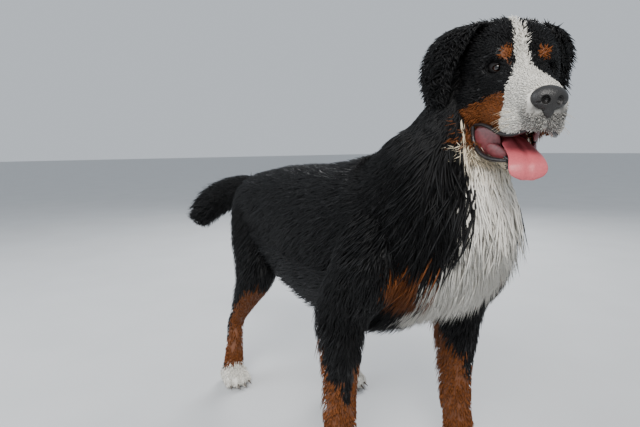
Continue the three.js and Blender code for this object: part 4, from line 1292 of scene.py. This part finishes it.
# Lips and gums: rims swept along the edges of both jaws
def rim(name, way, radius, look, slot="nose_leather", move=head_to_dog):
    curve = bpy.data.curves.new(name, "CURVE")
    curve.dimensions = "3D"
    curve.bevel_depth = 0.001
    curve.bevel_resolution = 4
    line = curve.splines.new("NURBS")
    line.points.add(len(way) - 1)
    line.use_endpoint_u = True
    line.order_u = 4
    line.resolution_u = 8
    way = np.array(way, float)
    for point, spot, share in zip(line.points, to_scene(move(way[:, :3])), way[:, 3]):
        point.co = (*spot, 1)
        point.radius = share * radius
    curve.use_fill_caps = True
    made = bpy.data.objects.new(name, curve)
    bpy.context.scene.collection.objects.link(made)
    pick(made)
    bpy.ops.object.convert(target="MESH")
    made = bpy.context.object
    face_outward(made)
    finished(made, look, slot)


JAW_RIM = [(45, 28, -94, 0.7), (74, 24, -95, 1), (90, 14, -96, 1), (95, 0, -97, 0.8)]
JAW_GUM = [(-10, 34, -96, 0.8), (10, 27, -97, 1), (45, 21, -97, 1), (74, 17, -97, 0.8)]
# The lower lip on the left is drawn in behind the tongue
LOWER_LIP_SHARE = {"left": 0.74, "right": 1.0}
# Place and half size of the flesh inside each cheek, and of the flesh below it
INNER_CHEEK = {"left": ((10, 34, -102), (14, 4, 10)), "right": ((2, -42, -113), (28, 3.5, 23))}
UNDER_CHEEK = {"left": ((30, 24, -122), (18, 4, 8)), "right": ((28, -33, -127), (22, 4, 11))}


def mirrored(way, across):
    return [(x, y * across, z, share) for x, y, z, share in way]


for side, sign in SIDES.items():
    rim(f"lip_upper_{side}", mirrored(UPPER_LIP, sign), 3.2, lip_look)
    rim(f"lip_lower_{side}", mirrored(LOWER_LIP, sign * LOWER_LIP_SHARE[side]), 4.0, lip_look)
    rim(f"lip_front_{side}", mirrored(JAW_RIM, sign), 3.4, lip_look, move=jaw_form.move)
    rim(f"gum_lower_{side}", mirrored(JAW_GUM, sign), 4.0, gum_look, "tongue", jaw_form.move)
    under = ball(f"under_cheek_{side}", *UNDER_CHEEK[side], (0, 14, -30 * sign))
    finished(under, gum_look, "tongue")
    cheek = ball(f"inner_cheek_{side}", *INNER_CHEEK[side], (0, 12, -35 * sign))
    finished(cheek, gum_look, "tongue")


# Teeth: the four canines and a row of small cheek teeth in each jaw, their tips bent back
def tooth(name, at, radius, height, move, down):
    def shape(places):
        places[:, 0] -= (places[:, 2] / height + 0.5) ** 2 * radius * 0.9
        places[:, 2] *= -1 if down else 1
        return move(places + np.array(at))

    finished(cone(name, 20, radius, 0.5, height, shape), tooth_look, "tongue")


for side, sign in SIDES.items():
    tooth(f"canine_upper_{side}", (90, 19 * sign, -78), 4.2, 20, head_to_dog, True)
    tooth(f"canine_lower_{side}", (86, 17 * sign, -92), 4.0, 20, jaw_form.move, False)
    for k in range(5):
        x, y = 58 - 15 * k, 22 + 2.4 * k
        tooth(f"cheek_tooth_lower_{side}_{k}", (x, y * sign, -92), 4.4, 11, jaw_form.move, False)
        tooth(f"cheek_tooth_upper_{side}_{k}", (x + 6, 25 * sign, -74), 4.6, 12, head_to_dog, True)


# Claws, pointing forward and down from each toe
CLAW_DIP = 26


def claw(kind, side, k, place):
    at = np.array([toe_root(place) + (25 if abs(place) < 1 else 24), place * 20.5, 12])
    turning = turned("Y", 90 + CLAW_DIP).T @ turned("Z", place * TOE_TURN).T

    def shape(places):
        spots = paw_move(kind, side)(places @ turning + at)
        spots[:, 2] = np.maximum(spots[:, 2], HAIR_ABOVE_FLOOR)
        return spots

    finished(cone(f"claw_{kind}_{side}_{k}", 16, 3.6, 0.8, 20, shape), claw_look, "nose_leather")


for side in SIDES:
    for kind in PAW_SIZE:
        for k, place in enumerate(TOES):
            claw(kind, side, k, place)


# Whiskers on both sides of the muzzle, in three rows of three
def whisker(k):
    sign = 1 if k % 2 else -1
    row, step = divmod(k // 2, 3)
    start = np.array([66 + 9 * step, 38 * sign, -62 - 9 * row])
    bend = np.array([-0.55 + 0.2 * step, 0.8 * sign, -0.25 - 0.12 * row]) * rng.uniform(16, 26)
    way = [(*start, 1.0), (*(start + bend * 0.5), 0.7), (*(start + bend + [0, 0, -3]), 0.25)]
    rim(f"whisker_{k}", way, 0.35, whisker_look, "coat")


for k in range(18):
    whisker(k)

# Stage, lights and camera
bpy.ops.mesh.primitive_plane_add(size=80, location=(0, 0, 0))
floor = bpy.context.object
floor.name = "floor"
floor.data.materials.append(plain_material("floor", (0.52, 0.53, 0.54), 0.7, 3, 0.02, spread=0.03))


def lamp(name, at, toward, size, power, colour=(1, 1, 1)):
    light = bpy.data.lights.new(name, "AREA")
    light.shape = "DISK"
    light.size = size
    light.energy = power
    light.color = colour
    made = bpy.data.objects.new(name, light)
    made.location = at
    made.rotation_euler = (Vector(toward) - Vector(at)).to_track_quat("-Z", "Y").to_euler()
    bpy.context.scene.collection.objects.link(made)


lamp("key", (2.6, -2.0, 3.0), (0.1, 0, 0.45), 2.2, 190, (1.0, 0.97, 0.93))
lamp("fill", (-1.4, -2.8, 1.8), (0, 0, 0.4), 2.6, 70, (0.93, 0.96, 1.0))
lamp("rim", (-2.2, 2.2, 2.6), (0, 0, 0.5), 1.8, 120)
world = bpy.data.worlds.new("studio")
world.use_nodes = True
world.node_tree.nodes["Background"].inputs["Color"].default_value = (0.80, 0.86, 0.93, 1)
world.node_tree.nodes["Background"].inputs["Strength"].default_value = 0.75
bpy.context.scene.world = world

camera_data = bpy.data.cameras.new("camera")
camera_data.lens = CAMERA_LENS
camera_data.sensor_width = 36
camera = bpy.data.objects.new("camera", camera_data)
bpy.context.scene.collection.objects.link(camera)
pitch = math.radians(CAMERA_PITCH)
ahead, aside = CAMERA_WAY
look = Vector((ahead * math.cos(pitch), aside * math.cos(pitch), -math.sin(pitch)))
camera.location = Vector(CAMERA_AT) + Vector(SHIFT)
camera.rotation_mode = "QUATERNION"
roll = Matrix.Rotation(math.radians(CAMERA_ROLL), 4, "Z").to_quaternion()
camera.rotation_quaternion = look.to_track_quat("-Z", "Y") @ roll
bpy.context.scene.camera = camera
bpy.context.view_layer.update()
